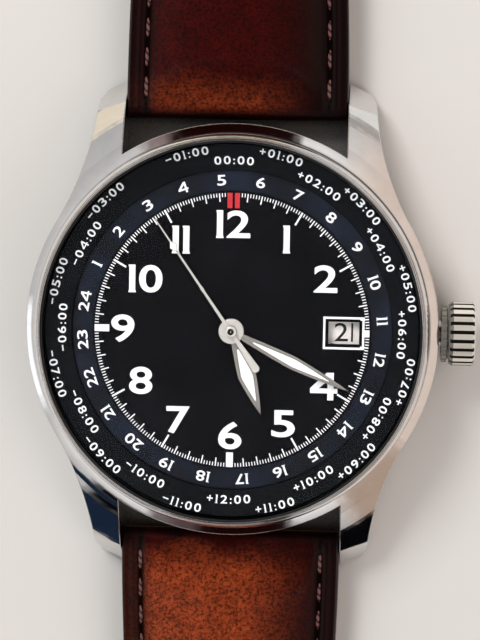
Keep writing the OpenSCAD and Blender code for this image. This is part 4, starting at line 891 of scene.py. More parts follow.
class Numerals:
    """Sets plain figures as thin solid shapes."""

    def __init__(self) -> None:
        self.made: dict[tuple[str, Weight], Shape] = {}

    def glyph(self, mark: str, weight: Weight) -> Shape:
        """One figure or sign of the plain font, a unit thick, at the font's own size and place."""
        key = (mark, weight)
        if key not in self.made:
            curve = bpy.data.curves.new("figure", "FONT")
            curve.body, curve.offset, curve.extrude, curve.resolution_u = mark, weight.value, 0.5, 5
            mesh = made_mesh(new_object("figure", curve))
            points = [(*v.co.xy, v.co.z + 0.5) for v in mesh.vertices]
            self.made[key] = Shape().add(points, [tuple(p.vertices) for p in mesh.polygons])
            bpy.data.meshes.remove(mesh)
        return self.made[key]

    def one(self, style: Style) -> Shape:
        """A 1 cut as a straight bar with a small flag and foot, a unit high."""
        bar, foot, lip, slope = style.bar / 2, style.foot / 2, 0.05, 0.03
        outline = [(-foot, 0), (foot, 0), (foot, lip), (bar, lip + slope), (bar, 1), (-foot, 1)]
        outline += [(-foot, 1 - lip), (-bar, 1 - lip - slope), (-bar, lip + slope), (-foot, lip)]
        return Shape().prism([(x, y - 0.5) for x, y in outline], 0, 1)

    def four(self, style: Style) -> Shape:
        """An open 4 of one bar, one arm and one slope, a unit high."""
        half, foot = 0.58 * style.wide, -0.25 + 0.8 * style.bar
        left, right, head = half - 0.14 - style.bar, half - 0.14, 0.5 - 1.35 * style.bar
        shape = Shape().box(left, right, -0.5, 0.5, 0, 1)
        shape.box(-half, left, -0.25, foot, 0, 1)
        shape.box(right, half, -0.25, foot, 0, 1)
        slope = [(-half, foot), (-half + 1.4 * style.bar, foot), (left, head)]
        return shape.prism([*slope, (left, 0.5), (left - 0.03, 0.5)], 0, 1)

    def mark(self, mark: str, style: Style) -> tuple[Shape, float]:
        """One mark of a line, centred, with a figure a unit high, and the mark's width."""
        if mark == "1":
            return self.one(style), style.foot
        if mark == "4":
            return self.four(style), 1.16 * style.wide
        heights = [p[1] for p in self.glyph("0", style.weight).points]
        low, size = min(heights), max(heights) - min(heights)
        part = self.glyph(mark, style.weight)
        left, right = (pick(p[0] for p in part.points) for pick in (min, max))
        natural = (right - left) / size
        width = style.wide if mark.isdigit() else natural
        scale = Matrix.Diagonal((width / natural / size, 1 / size, 1, 1))
        return Shape().join(part, scale @ shift(-(left + right) / 2, -low - size / 2)), width

    def put(
        self, shape: Shape, text: str, style: Style, height: float, thick: float,
        place: Callable[[float], Matrix],
    ) -> None:
        """Adds a line of figures to a shape.

        Args:
            shape: Receives the figures.
            text: What to set.
            style: How to set it.
            height: Height of a figure.
            thick: How far they stand up.
            place: Gives the place of a mark from its distance to the line's middle.
        """
        marks = [self.mark(mark, style) for mark in text]
        along = -(sum(width for _, width in marks) + style.gap * (len(marks) - 1)) / 2
        for part, width in marks:
            spot = place((along + width / 2) * height)
            shape.join(part, spot @ Matrix.Diagonal((height, height, thick, 1)))
            along += width + style.gap


def straight(at: Matrix) -> Callable[[float], Matrix]:
    """Places for a straight line of figures whose middle is at a matrix."""
    return lambda along: at @ shift(along, 0)


def tangent_place(
    radius: float, angle: float, height: float, tilt: float = 0.0, inward: bool = False
) -> Matrix:
    """A place on a ring for figures whose tops point outwards, or inwards.

    Args:
        radius: Distance from the centre.
        angle: Degrees clockwise from 12 o'clock.
        height: Height above the ground.
        tilt: Slope of the ring's face, rising outwards, in degrees.
        inward: True to turn the figures' tops to the centre.

    Returns:
        The matrix that puts them there.
    """
    return spin(-angle) @ shift(0, radius, height) @ spin(tilt, "X") @ spin(180 if inward else 0)


# Dial


@dataclass(frozen=True)
class Levels:
    """Heights of the visible layers above the ground."""

    date: float = 5.55
    ring: float = 6.30
    dial: float = 6.51
    hour: float = 6.86
    minute: float = 7.21
    second: float = 7.54


LEVEL = Levels()


class MarkRing(Enum):
    """Rings of printed bars: count, run, degrees from bar to bar, length, width and thickness."""

    SHORT = (240, 4, 1.2, 0.36, 0.085, 0.02)
    MINUTE = (48, 4, 6.0, 0.79, 0.11, 0.02)
    HOUR = (8, 2, 30.0, 1.35, 0.17, 0.03)


@dataclass
class DialPrint:
    """Everything printed on or set into the dial."""

    track_r: float = 12.9
    ink: float = 0.02
    numeral_h: float = 2.6
    numeral_r: dict[int, float] = field(
        default_factory=lambda: {
            1: 10.0, 2: 10.06, 4: 10.09, 5: 10.0, 6: 9.93, 7: 9.85,
            8: 9.8, 9: 10.24, 10: 9.42, 11: 9.75, 12: 9.97,
        }
    )
    lume_l: float = 1.38
    lume_w: float = 0.65
    lume_h: float = 0.09
    red_l: float = 1.42
    red_w: float = 0.45
    red_gap: float = 0.24
    date_r: float = 10.5
    frame_w: float = 3.85
    frame_h: float = 3.05
    frame_line: float = 0.2

    def track(self, shop: Workshop, recipe: Recipe) -> None:
        """The three rings of bars along the dial's edge."""
        for kind in MarkRing:
            count, run, step, length, width, thick = kind.value
            bars = recipe.make(
                f"dial_{kind.name.lower()}_bars", [(0, 0, 0), (0, 0, 0.1)], shop.paint(WHITE),
                Count=count, Run=run, Step=math.radians(step), Height=LEVEL.dial * MM,
                Radius=self.track_r * MM, Length=length * MM, Width=width * MM, Thickness=thick * MM,
            )
            shop.deliver(bars, "watch_case", "lume")

    def figures(self, shop: Workshop, numerals: Numerals) -> None:
        """The hour numerals, upright, all but 3."""
        shape = Shape()
        for hour, radius in self.numeral_r.items():
            place = straight(shift(*polar(radius, 90 - 30 * hour), LEVEL.dial))
            numerals.put(shape, str(hour), HOUR_STYLE, self.numeral_h, self.ink, place)
        shop.piece(shape, "dial_numerals", "watch_case", [WHITE], "lume")

    def blocks(self, shop: Workshop) -> None:
        """The luminous blocks at 3, 6 and 9 and the two red ones at 12."""
        lume, red, outer, z = Shape(), Shape(), self.track_r, LEVEL.dial
        for angle, length in ((90, 0.5), (180, self.lume_l), (270, self.lume_l)):
            block = Shape().box(outer - length, outer, -self.lume_w / 2, self.lume_w / 2, z, z + self.lume_h)
            lume.join(block, spin(90 - angle))
        for left in (-self.red_w - self.red_gap / 2, self.red_gap / 2):
            red.box(left, left + self.red_w, outer - self.red_l, outer, z, z + 0.05)
        shop.piece(lume, "dial_blocks", "watch_case", [LUME], "lume")
        shop.piece(red, "twelve_bars", "watch_case", [RED], "lume")

    def window(self, shop: Workshop) -> None:
        """The white line round the date window."""
        rows = []
        for inset, z in ((0, 0), (self.frame_line, 0), (self.frame_line, self.ink), (0, self.ink)):
            w, h = self.frame_w / 2 - inset, self.frame_h / 2 - inset
            corners = ((-w, -h), (w, -h), (w, h), (-w, h))
            rows.append([(self.date_r + x, y, LEVEL.dial + z) for x, y in corners])
        shop.piece(Shape().loft(rows, ring=True), "date_frame", "watch_case", [WHITE], "lume")

    def build(self, shop: Workshop, numerals: Numerals) -> None:
        """Prints the dial."""
        self.track(shop, bar_recipe())
        self.figures(shop, numerals)
        self.blocks(shop)
        self.window(shop)


@dataclass
class HourRing:
    """The 24 hours on the turning ring, with their tops outwards."""

    radius: float = 14.1
    height: float = 1.0
    start: float = -4.8

    def build(self, shop: Workshop, numerals: Numerals) -> None:
        """Sets 1 to 24."""
        shape = Shape()
        for hour in range(1, 25):
            place = straight(tangent_place(self.radius, self.start + 15 * (hour - 5), LEVEL.ring))
            numerals.put(shape, str(hour), RING_STYLE, self.height, 0.02, place)
        shop.piece(shape, "ring_numerals", "ring_body", [WHITE], "ring_black")


@dataclass
class OffsetRing:
    """The fixed ring under the crystal, with plain offsets from universal time in two rows."""

    inner_r: float = 15.96
    outer_r: float = 17.0
    height: float = 0.8
    bare: int = -2
    foot_r: float = 15.07
    foot_z: float = 6.6
    top_r: float = 17.45
    top_z: float = 7.3

    def place(self, radius: float, angle: float) -> Callable[[float], Matrix]:
        """Places along the cone; in the lower half the figures' tops point inwards."""
        rise = (self.top_z - self.foot_z) / (self.top_r - self.foot_r)
        inward = 100 < angle % 360 < 260
        height = self.foot_z + (radius - self.foot_r) * rise
        way = math.degrees(-1 / radius if inward else 1 / radius)
        tilt = math.degrees(math.atan(rise))
        return lambda along: tangent_place(radius, angle + way * along, height, tilt, inward)

    def build(self, shop: Workshop, numerals: Numerals) -> None:
        """Sets the offsets in hours and minutes, one row inside the other."""
        shape = Shape()
        for step in range(24):
            offset = step if step <= 12 else step - 24
            if offset == self.bare:
                continue
            sign = "" if offset == 0 else ("+" if offset > 0 else "−")
            place = self.place(self.outer_r if step % 2 else self.inner_r, 15.0 * step)
            numerals.put(shape, f"{sign}{abs(offset):02d}:00", OFFSET_STYLE, self.height, 0.02, place)
        shop.piece(shape, "offset_figures", "watch_case", [WHITE], "ring_black")


@dataclass
class DateWheel:
    """The 31 days on the date disc, which read upright at 3 o'clock."""

    radius: float = 10.5
    height: float = 1.75
    shown: int = 21

    def build(self, shop: Workshop, numerals: Numerals) -> None:
        """Prints the days."""
        shape = Shape()
        for day in range(1, 32):
            place = straight(spin((self.shown - day) * 360 / 31) @ shift(self.radius, 0, LEVEL.date))
            numerals.put(shape, str(day), DATE_STYLE, self.height, 0.015, place)
        shop.piece(shape, "date_numerals", "date_body", [DATE_INK], "date_white")


# Hands


@dataclass
class LeafHand:
    """A leaf-shaped hand with two sloping faces and a slot for its luminous filling."""

    node: str
    angle: float
    length: float
    width: float
    root: float
    base: float
    thick: float
    bore: float
    border: float
    fill: Flat
    start: float = 0.6
    hub_r: float = 1.17

    def __post_init__(self) -> None:
        self.mid = self.start + 0.5 * (self.length - self.start)

    def outline(self, x: float) -> float:
        """Half of the hand's width at a distance from the centre."""
        if x <= self.mid:
            t = (x - self.start) / (self.mid - self.start)
            return self.root / 2 + (self.width - self.root) / 2 * t + 0.16 * t * (1 - t)
        t = (x - self.mid) / (self.length - self.mid)
        return self.width / 2 + (0.03 - self.width / 2) * t + 0.24 * t * (1 - t)

    def slot(self, x: float) -> float:
        """Half of the slot's width at a distance from the centre."""
        a, b = self.fill
        half = self.width / 2 - self.border
        if x <= a or x >= b:
            return 0.0
        if x < self.mid:
            return half * (0.12 + 0.88 * ((x - a) / (self.mid - a)) ** 0.85)
        return half + (0.03 - half) * ((x - self.mid) / (b - self.mid)) ** 1.15

    def blade(self, shape: Shape) -> None:
        """Both sloping sides, from the hub's edge to the tip."""
        a, b = self.fill
        first = self.hub_r - 0.12
        spots = {first, a - 0.001, a + 0.001, self.mid, b - 0.001, b + 0.001, self.length}
        spots |= {first + (self.length - first) * i / 36 for i in range(37)}
        low, edge = self.base, self.base + 0.4 * self.thick
        for side in (1, -1):
            rows = []
            for x in sorted(spots):
                out, inn = self.outline(x), min(self.slot(x), self.outline(x) * 0.9)
                slope = edge + 0.6 * self.thick * (1 - inn / out)
                row = [(inn, low), (out, low), (out, edge), (inn, slope)]
                rows.append([(x, side * y, z) for y, z in row[::side]])
            # Slot 1 is the darker steel, painted shade on the sloping faces.
            shape.loft(rows, lambda _: 1)

    def hub(self, shape: Shape) -> None:
        """A faintly domed collar with a rounded rim."""
        top, rim = self.base + self.thick, self.hub_r
        profile = [(self.bore, self.base), (rim, self.base), (rim, top - 0.06), (rim - 0.05, top - 0.015)]
        profile += [(rim - 0.12, top), (self.bore + 0.1, top + 0.02), (self.bore, top + 0.012)]
        shape.turned(profile, 72)

    def filling(self) -> Shape:
        """The luminous filling, a little below the ridges that hold it."""
        a, b = self.fill
        low, high = self.base + 0.02, self.base + 0.78 * self.thick
        rows = []
        for i in range(25):
            x = a + 0.004 + (b - a - 0.008) * i / 24
            half = self.slot(x) - 0.003
            row = [(-half, high - 0.01), (0, high), (half, high - 0.01), (half, low), (-half, low)]
            rows.append([(x, y, z) for y, z in row])
        return Shape().loft(rows)

    def build(self, shop: Workshop) -> None:
        """Makes the hand in place of its flat CAD solids."""
        shape, body, turn = Shape(), f"{self.node}_body", spin(90 - self.angle)
        self.blade(shape)
        self.hub(shape)
        leaf, lume = Shape().join(shape, turn), Shape().join(self.filling(), turn)
        steels = [HAND_STEEL, SHADED_BEVEL_STEEL]
        shop.piece(leaf, f"{self.node}_leaf", body, steels, "polished_steel", f"{self.node}_hand", crease=12)
        shop.piece(lume, f"{self.node}_filling", body, [HAND_LUME], "lume", f"{self.node}_lume")


@dataclass
class SecondsHand:
    """Luminous spot and domed cap on the seconds hand."""

    angle: float = 325.2
    spot_r: float = 9.59
    half_l: float = 0.5
    half_w: float = 0.33
    cap_r: float = 0.52
    hole_r: float = 0.3
    pin_r: float = 0.06

    def build(self, shop: Workshop) -> None:
        """Adds the spot, the cap and the pin in its hole."""
        low, z = LEVEL.second + 0.1, LEVEL.second + 0.3
        cap, hole, pin = self.cap_r, self.hole_r, self.pin_r
        outline = [(-self.half_l, 0), (0, -self.half_w), (self.half_l, 0), (0, self.half_w)]
        spot = Shape().prism([(self.spot_r + x, y) for x, y in outline], low, low + 0.035)
        ring = [(hole, z), (cap, z), (cap - 0.04, z + 0.03), (cap - 0.1, z + 0.05)]
        ring += [(hole + 0.03, z + 0.06), (hole, z + 0.04)]
        floor = [(0.001, z - 0.02), (hole - 0.005, z - 0.02), (hole - 0.005, z + 0.02), (0.001, z + 0.01)]
        post = [(0.001, z - 0.01), (pin, z - 0.01), (pin, z + 0.03), (pin - 0.02, z + 0.045)]
        post += [(0.001, z + 0.05)]
        spot = Shape().join(spot, spin(90 - self.angle))
        shop.piece(spot, "seconds_spot", "seconds_body", [HAND_LUME], "lume")
        shop.piece(Shape().turned(ring, 48), "seconds_cap", "seconds_body", [HAND_STEEL], "polished_steel")
        # A dark disc at the floor of the cap's hole, painted shade.
        shop.piece(Shape().turned(floor, 32), "seconds_bore_shade", "seconds_body", [BORE_SHADE], "spring_steel")
        shop.piece(Shape().turned(post, 24), "seconds_pin", "seconds_body", [HAND_STEEL], "polished_steel")


# Strap


@dataclass
class StrapForm:
    """The measures that both strap halves share, and their cross-section."""

    bar_y: float = 21.2
    bar_z: float = 2.3
    bar_way: float = 0.74
    eye_r: float = 1.55
    wide: float = 20.9
    tail: float = 18.0
    edge_t: float = 2.9
    tail_t: float = 2.3
    taper: float = 42.0
    pad_h: float = 1.4
    pad_len: float = 46.0
    margin: float = 1.9
    soft: float = 0.35
    across: int = 72
    sewn: float = 1.4
    sewn_out: float = 0.08
    sewn_up: float = 0.12
    way_half: float = 12.0
    cut: Flat = (-2.0, 9.0)
    pitch: float = 2.75
    stitch_l: float = 1.85
    thread_d: float = 0.4
    dip: float = 0.3

    def width(self, s: float) -> float:
        """The strap's width at a distance from the spring bar."""
        return self.wide + (self.tail - self.wide) * ease(s / self.taper)

    def edge(self, s: float) -> float:
        """Thickness of the strap's edge."""
        body = self.edge_t + (self.tail_t - self.edge_t) * ease(s / self.taper)
        return 2 * self.eye_r + (body - 2 * self.eye_r) * ease(s / 6)

    def under(self, s: float, low: float) -> float:
        """Height of the strap's underside above the ground."""
        start = self.bar_z - self.eye_r
        return start + (low - start) * ease(s / 20)

    def top(self, x: float, s: float, half: float, padded: bool = True) -> float:
        """Height of the upper face over the edge's own height, at x from the middle line."""
        inner = max(0.1, half - self.margin)
        share = min(1.0, abs(x) / inner)
        rise = 0.0
        if padded:
            near = s + 1.1 * share * share - 0.25
            pad = self.pad_h * ease(near / 4.6) * (1 - 0.85 * ease((s - 6) / self.pad_len))
            wave = math.sin(0.41 * s + 0.3 * x) * math.sin(0.23 * s - 0.5 * x + 1) * ease(s / 8)
            rise = pad * (1 - share**2) ** 0.52 + 0.035 * (1 - share) * wave
        out = abs(x) - inner
        ribs = ((-0.28, 0.08, 0.26), (0.1, 0.72, 0.3), (-0.12, 1.2, 0.14))
        ribbed = sum(high * math.exp(-(((out - at) / wide) ** 2)) for high, at, wide in ribs)
        return rise + ribbed * ease((s + 1.3) / 1.8)

    def row(self, s: float, half: float, low: float, high: float, padded: bool = True) -> list[Point]:
        """One cross-section, counter-clockwise as seen from the bar's side."""
        soft = min(self.soft, (high - low) / 3, half / 2)
        side, foot, head = half - soft, low + soft, high - soft
        right = [(side + soft * math.sin(a), foot - soft * math.cos(a)) for a in (0.52, 1.05, 1.57)]
        right += [(half, foot + (head - foot) * k) for k in (0.33, 0.66, 1.0)]
        right += [(side + soft * math.cos(a), head + soft * math.sin(a)) for a in (0.4, 0.8, 1.2)]
        points = [(side * (i / 6 - 1), low) for i in range(13)] + right
        for i in range(self.across + 1):
            x = side * (1 - 2 * i / self.across)
            points.append((x, high + max(-0.3 * (high - low), self.top(x, s, half, padded))))
        points += [(-x, z) for x, z in reversed(right)]
        return [(x, s, z) for x, z in points]

    def slot(self, j: int) -> int:
        """Material of a face by its place in the row: 0 upper leather, 1 edge, 2 lining."""
        if j < 12 or j >= self.across + 31:
            return 2
        return 0 if 20 <= j <= 22 + self.across else 1


FORM = StrapForm()


@dataclass
class StrapHalf:
    """One padded half of the strap, folded round its spring bar."""

    name: str
    body: str
    node: str
    turn: float
    low: float
    length: float
    tip: float = 0.0

    def rows(self) -> list[list[Point]]:
        """The rows that wrap round the spring bar, and the padded ones to where the end begins."""
        rows, s = [], 0.0
        for share in (0.998, 0.97, 0.91, 0.82, 0.7, 0.56, 0.4, 0.2):
            high, z = FORM.eye_r * math.sqrt(1 - share * share), FORM.bar_z
            rows.append(FORM.row(-share * FORM.eye_r, FORM.wide / 2, z - high, z + high, False))
        while s < self.last() - 0.2:
            low = FORM.under(s, self.low)
            rows.append(FORM.row(s, FORM.width(s) / 2, low, low + FORM.edge(s)))
            s += 0.3 if s < 9 else 0.6
        return rows

    def last(self) -> float:
        """Where the far end begins."""
        return self.length - self.tip

    def end(self) -> list[list[Point]]:
        """The rows that close the far end."""
        raise NotImplementedError

    def cutters(self) -> Shape:
        """The holes, as solids along the strap; every half has the spring bar's way."""
        way = Shape().rod(FORM.bar_way, -FORM.way_half, FORM.way_half)
        return Shape().join(way, shift(0, 0, FORM.bar_z) @ spin(90, "Y"))

    def seams(self) -> list[list[Point]]:
        """The stitch lines along the strap."""
        raise NotImplementedError

    def seam(self, last: float) -> list[Point]:
        """The stitch line down the side of positive x."""
        line = []
        for i in range(int((last - FORM.sewn) / 0.5)):
            s = FORM.sewn + 0.5 * i
            x = FORM.width(s) / 2 - FORM.margin + FORM.sewn_out
            face = FORM.under(s, self.low) + FORM.edge(s) + FORM.top(x, s, FORM.width(s) / 2)
            line.append((x, s, face + FORM.sewn_up))
        return line

    def placed(self, shape: Shape) -> Shape:
        """The shape moved to the spring bar and turned to its side of the case."""
        out = Shape().join(shape, spin(self.turn) @ shift(0, FORM.bar_y))
        out.layout = shape.layout
        return out

    def build(self, shop: Workshop, recipe: Recipe) -> None:
        """Makes the leather body with its holes cut, and the thread."""
        shape = Shape().loft(self.rows() + self.end(), FORM.slot)
        for x, s, _ in shape.points:
            half = FORM.width(max(0.0, s)) / 2
            shape.layout.append(((abs(x) - half + FORM.margin) / 100, s / 200))
        obj = self.placed(shape).object(self.name, [shop.paint(f) for f in (CALF, EDGE_PAINT, LINING)], 60)
        tool = self.placed(self.cutters()).object("holes", [shop.paint(EDGE_PAINT)] * 2)
        step = obj.modifiers.new("holes", "BOOLEAN")
        step.operation, step.solver, step.object = "DIFFERENCE", "EXACT", tool
        obj = new_object(self.name, made_mesh(obj))
        bpy.data.objects.remove(tool)
        smooth(obj.data, 60)
        shop.deliver(obj, self.body, "strap_leather", self.node)
        for i, path in enumerate(self.seams()):
            thread = recipe.make(
                f"{self.name}_thread_{i + 1}", self.placed(Shape().add(path, [])).points, shop.paint(THREAD),
                Pitch=FORM.pitch * MM, Length=FORM.stitch_l * MM, Thickness=FORM.thread_d * MM,
                Rise=FORM.dip * MM,
            )
            shop.deliver(thread, self.body, "strap_leather")


@dataclass
class BuckleHalf(StrapHalf):
    """The half that carries the buckle, slotted for its tongue."""

    slot_w: float = 3.2
    slot_l: float = 4.4
    pin_r: float = 0.64
    stub_x: float = 8.0
    stub_half: float = 6.2

    def end(self) -> list[list[Point]]:
        """The fold round the buckle's bar."""
        rows, z = [], self.low + FORM.tail_t / 2
        for share in (0.0, 0.3, 0.55, 0.75, 0.9, 0.97, 0.995):
            high = FORM.tail_t / 2 * math.sqrt(1 - share * share)
            s = self.length + share * FORM.tail_t / 2
            rows.append(FORM.row(s, FORM.tail / 2, z - high, z + high, share < 0.5))
        return rows

    def cutters(self) -> Shape:
        """Adds the tongue's slot and the ways of the buckle's bar."""
        side, first = self.slot_w / 2, self.length - self.slot_l
        shape = super().cutters().box(-side, side, first, self.length + 3, *FORM.cut)
        for x in (-self.stub_x, self.stub_x):
            spot = shift(x, self.length, self.low + FORM.tail_t / 2)
            stub = Shape().rod(self.pin_r, -self.stub_half, self.stub_half)
            shape.join(stub, spot @ spin(90, "Y"))
        return shape

    def seams(self) -> list[list[Point]]:
        """Two straight rows, from near the bar to just before the slot."""
        right = self.seam(self.length - 5.8)
        return [[(-x, s, z) for x, s, z in right], right]


@dataclass
class HoleHalf(StrapHalf):
    """The half with the holes and the rounded tip."""

    tip: float = 9.0
    holes: int = 7
    pitch: float = 6.5
    first: float = 26.0
    hole_r: float = 0.95

    def end(self) -> list[list[Point]]:
        """The rows of the rounded tip."""
        rows = []
        for k in (0.0, 0.12, 0.25, 0.4, 0.52, 0.63, 0.73, 0.81, 0.88, 0.93, 0.965, 0.985, 0.995):
            s = self.last() + k * self.tip
            low, half = FORM.under(s, self.low), FORM.width(s) / 2 * math.sqrt(1 - k * k)
            rows.append(FORM.row(s, half, low, low + FORM.tail_t))
        return rows

    def cutters(self) -> Shape:
        """Adds the round holes."""
        shape = super().cutters()
        for i in range(self.holes):
            spot = shift(0, self.length - self.first - i * self.pitch)
            shape.join(Shape().rod(self.hole_r, *FORM.cut), spot)
        return shape

    def seams(self) -> list[list[Point]]:
        """One row down each side and round the tip."""
        right, wide = self.seam(self.last()), FORM.tail / 2 - FORM.margin + FORM.sewn_out
        path = list(right)
        for i in range(25):
            x, s = polar(1, 180 * i / 24)
            s = self.last() + (self.tip - FORM.margin) * s
            path.append((wide * x, s, FORM.under(s, self.low) + FORM.tail_t + FORM.sewn_up))
        return [path + [(-x, s, z) for x, s, z in reversed(right)]]


@dataclass
class Keeper:
    """A leather loop round the strap."""

    name: str
    body: str
    node: str
    y: float
    width: float = 5.0
    wall: float = 0.9
    inner_w: float = 18.5
    inner_h: float = 5.3
    low: float = 0.14
    round_r: float = 1.2

    def ring(self, inset: float) -> list[Flat]:
        """A rounded rectangle, counter-clockwise, set in from the outer face."""
        w, h = self.inner_w / 2 + self.wall - inset, self.inner_h + 2 * self.wall - 2 * inset
        r = max(0.35, self.round_r - inset)
        points = []
        for cx, cz, start in ((w - r, r, -90), (w - r, h - r, 0), (-w + r, h - r, 90), (-w + r, r, 180)):
            turns = [polar(r, start + 90 * i / 8) for i in range(9)]
            points += [(cx + x, self.low + inset + cz + z) for x, z in turns]
        return points

    def build(self, shop: Workshop) -> None:
        """Makes the loop with a faint crown and painted edges."""
        half, wall = self.width / 2, self.wall
        profile = [(0.12, -half), (0.0, -half + 0.18), (0.0, 0.0), (0.0, half - 0.18), (0.12, half)]
        profile += [(wall - 0.12, half), (wall, half - 0.2), (wall, 0.0), (wall, -half + 0.2)]
        profile += [(wall - 0.12, -half)]
        rings = [(self.ring(inset), y) for inset, y in profile]
        rows = [[(ring[j][0], self.y + y, ring[j][1]) for ring, y in rings] for j in range(len(rings[0][0]))]
        shape = Shape().loft(rows, lambda j: 0 if j < 4 else (2 if 5 <= j <= 8 else 1), ring=True)
        shape.layout = [((abs(y - self.y) - half - 1.2) / 100, 0.15) for _, y, _ in shape.points]
        finishes = [LOOP, EDGE_PAINT, LINING]
        shop.piece(shape, self.name, self.body, finishes, "strap_leather", self.node, crease=50)


# Studio


@dataclass(frozen=True)
class Card:
    """A card of the studio that the steel mirrors.

    It stands at a clock angle, reaches half an angle to each side with a soft rim, and spans two
    heights, from 0 at the horizon to 1 overhead.
    """

    turn: float
    half: float
    soft: float
    low: float
    high: float
    tint: Colour
    share: float = 1.0


CARDS = (
    Card(90, 42, 22, 0.3, 0.9, shade(232, 208, 192), 0.8),
    Card(75, 6, 9, 0.2, 0.62, shade(160, 129, 108), 0.8),
    Card(135, 7, 7, 0.1, 0.85, shade(182, 158, 140), 0.9),
    Card(290, 42, 16, 0.3, 0.9, shade(186, 186, 186), 0.6),
    Card(262, 10, 8, 0.42, 0.66, (1.5, 1.55, 1.6), 0.8),
    Card(342, 5, 6, 0.3, 0.9, shade(132, 110, 108), 0.9),
    Card(0, 16, 5, 0.4, 0.95, shade(26, 6, 5)),
    Card(179, 15, 5, 0.3, 0.94, shade(26, 6, 6)),
    Card(196, 4, 5, 0.2, 0.8, shade(93, 78, 82), 0.9),
    Card(0, 14, 10, 0.0, 0.36, shade(246, 234, 214)),
    Card(315, 14, 16, 0.14, 0.34, shade(250, 238, 216)),
    Card(32, 9, 12, 0.12, 0.3, shade(240, 238, 235)),
    Card(32, 9, 10, 0.36, 0.41, shade(141, 134, 128), 0.5),
    Card(216, 13, 6, 0.0, 0.33, shade(26, 40, 60)),
    Card(186, 14, 6, 0.0, 0.26, shade(226, 220, 215)),
    Card(154, 12, 5, 0.0, 0.3, shade(5, 5, 7)),
    Card(212, 6, 5, 0.36, 0.47, shade(10, 10, 14)),
)


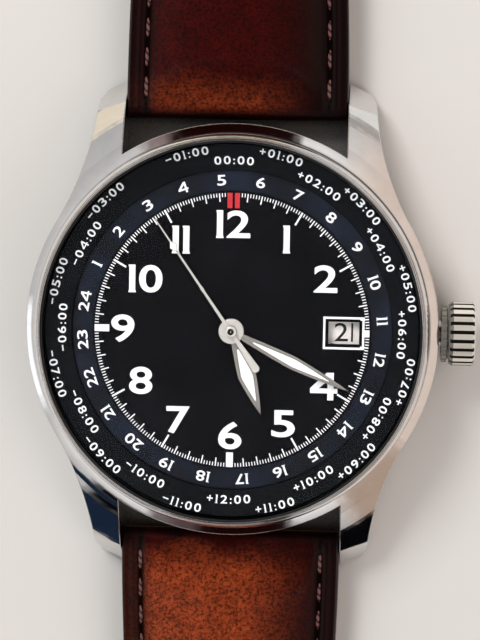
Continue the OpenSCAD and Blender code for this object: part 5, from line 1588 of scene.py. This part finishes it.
@dataclass
class Studio:
    """Floor, light from all round with a few darker parts, soft lamps and the camera."""

    foot: Flat = (13.97, 21.98)
    aim: Flat = (-0.0624, -0.0991)
    distance: float = 218.1
    focal: float = 127.8
    roll: float = 0.97
    floor_z: float = -0.06
    floor_half: float = 3000
    floor_colour: Colour = shade(240, 239, 237)
    dome: tuple[Flat, ...] = (
        (0.0, 0.2), (0.15, 0.26), (0.3, 0.5), (0.5, 0.72), (0.8, 0.98),
        (0.9, 0.85), (0.945, 0.3), (0.97, 0.12), (1.0, 0.09),
    )

    def floor(self) -> None:
        """A plain pale floor just under the case back, with painted shadow in the deepest gaps."""
        paint = Paint("floor")
        colour = paint.blend(paint.noise(0.01, 3), self.floor_colour, dimmed(self.floor_colour, 0.985))
        # Painted shadow: near black where the floor is closed in under the watch.
        colour = paint.blend(paint.spread(paint.openness(9.0), 0.1, 0.42), (0.03, 0.02, 0.016), colour)
        material = paint.end(paint.principled(colour, Roughness=0.7, Specular_IOR_Level=0.2))
        far = self.floor_half
        corners = [(x, y, self.floor_z) for x, y in ((-far, -far), (far, -far), (far, far), (-far, far))]
        Shape().add(corners, [(0, 1, 2, 3)]).object("floor", [material])

    def card(self, graph: Graph, way: Value, card: Card) -> Value:
        """Share of one card in a direction."""
        moved = graph.aim("ADD", way, (-self.aim[0], -self.aim[1], 0.0))
        level = graph.aim("NORMALIZE", graph.aim("MULTIPLY", moved, (1, 1, 0)))
        dot = graph.aim("DOT_PRODUCT", level, (*polar(1, 90 - card.turn), 0.0), out="Value")
        up = graph.parts(way)[2]
        outer, inner = (math.cos(math.radians(card.half + soft)) for soft in (card.soft, 0.0))
        edges = ((dot, outer, inner), (up, card.low - 0.05, card.low), (up, card.high + 0.03, card.high))
        share = card.share
        for value, off, full in edges:
            inputs = {0: value, 1: off, 2: full, 3: 0.0, 4: 1.0}
            rim = graph.get("ShaderNodeMapRange", inputs, clamp=True, interpolation_type="SMOOTHSTEP")
            share = rim * share
        return share

    def sky(self) -> None:
        """A pale dome with a dark horizon, and the cards that the steel mirrors."""
        world = bpy.data.worlds.new("studio")
        world.use_nodes = True
        graph = Graph(world.node_tree)
        world.node_tree.nodes.clear()
        way = graph.get("ShaderNodeTexCoord", out="Generated")
        colour = graph.get("ShaderNodeValToRGB", {0: graph.parts(way)[2]})
        stops = colour.socket.node.color_ramp.elements
        while len(stops) < len(self.dome):
            stops.new(0.5)
        for stop, (place, level) in zip(stops, self.dome):
            stop.position = place
            stop.color = (level, level * 0.985, level * 0.97, 1)
        for card in CARDS:
            inputs = {0: self.card(graph, way, card), 6: colour, 7: card.tint}
            colour = graph.get("ShaderNodeMix", inputs, 2, data_type="RGBA")
        rays = (graph.get("ShaderNodeLightPath", out=f"Is {ray} Ray") for ray in ("Camera", "Transmission"))
        inputs = {0: graph.calc("MAXIMUM", *rays), 6: colour, 7: self.floor_colour}
        back = graph.get("ShaderNodeMix", inputs, 2, data_type="RGBA")
        shader = graph.get("ShaderNodeBackground", {"Color": back, "Strength": 1.0})
        graph.get("ShaderNodeOutputWorld", {"Surface": shader})
        bpy.context.scene.world = world

    def lamp(self, name: str, place: Point, power: float, size: float, tint: Colour) -> None:
        """A square lamp in metres that points at the watch."""
        light = bpy.data.lights.new(name, "AREA")
        light.energy, light.size, light.color = power, size, tint
        obj = new_object(name, light)
        obj.visible_glossy = False
        obj.location = place
        obj.rotation_euler = (-Vector(place)).to_track_quat("-Z", "Y").to_euler()

    def camera(self) -> None:
        """Above the dial and a little towards 1 o'clock, as the photograph was taken."""
        data = bpy.data.cameras.new("camera")
        data.sensor_width, data.lens = 36, self.focal
        data.clip_start, data.clip_end = 0.01, 20
        obj = new_object("camera", data)
        obj.location = Vector((*self.foot, self.distance)) * MM
        look = Vector((*self.aim, -1.0)).normalized()
        right = look.cross(Vector((0, 1, 0))).normalized()
        level = Matrix((right, right.cross(look), -look)).transposed()
        obj.rotation_euler = (level @ spin(self.roll).to_3x3()).to_euler()
        bpy.context.scene.camera = obj

    def build(self) -> None:
        """Sets up the floor, light and camera."""
        self.floor()
        self.sky()
        self.lamp("key", place=(-0.28, 0.42, 0.5), power=2.4, size=0.26, tint=(1.0, 0.98, 0.95))
        self.lamp("fill", place=(0.45, -0.3, 0.4), power=0.7, size=0.4, tint=(0.95, 0.97, 1.0))
        self.camera()
        bpy.context.scene.view_settings.view_transform = "Standard"


def main() -> None:
    """Builds the watch's visual model from the frame outwards."""
    logging.basicConfig(level=logging.INFO, format="%(name)s: %(message)s")
    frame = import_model()
    Studio().build()
    shop, numerals, thread = Workshop(frame), Numerals(), stitch_recipe()
    for finish, names in DRESSED.items():
        shop.dress(finish, names)
    for printed in (DialPrint(), HourRing(), OffsetRing(), DateWheel()):
        printed.build(shop, numerals)
    LeafHand(
        "hour", angle=159.7, length=8.3, width=1.73, root=0.58, base=LEVEL.hour, thick=0.15, bore=0.85,
        border=0.32, fill=(1.8, 6.95),
    ).build(shop)
    LeafHand(
        "minute", angle=115.8, length=12.3, width=1.27, root=0.46, base=LEVEL.minute, thick=0.13, bore=0.55,
        border=0.26, fill=(2.3, 10.25),
    ).build(shop)
    SecondsHand().build(shop)
    upper = BuckleHalf("strap_upper", "strap_short_body", "strap_short", turn=0, low=1.1, length=75.0)
    lower = HoleHalf("strap_lower", "strap_long_body", "strap_long", turn=180, low=0.1, length=116.0)
    for half in (upper, lower):
        half.build(shop, thread)
    Keeper("keeper_fixed", "strap_short_body", "fixed_keeper", y=87.7).build(shop)
    Keeper("keeper_free", "keeper_body", "sliding_keeper", y=78.7).build(shop)
    LOG.info("all pieces in place")


if __name__ == "__main__":
    main()
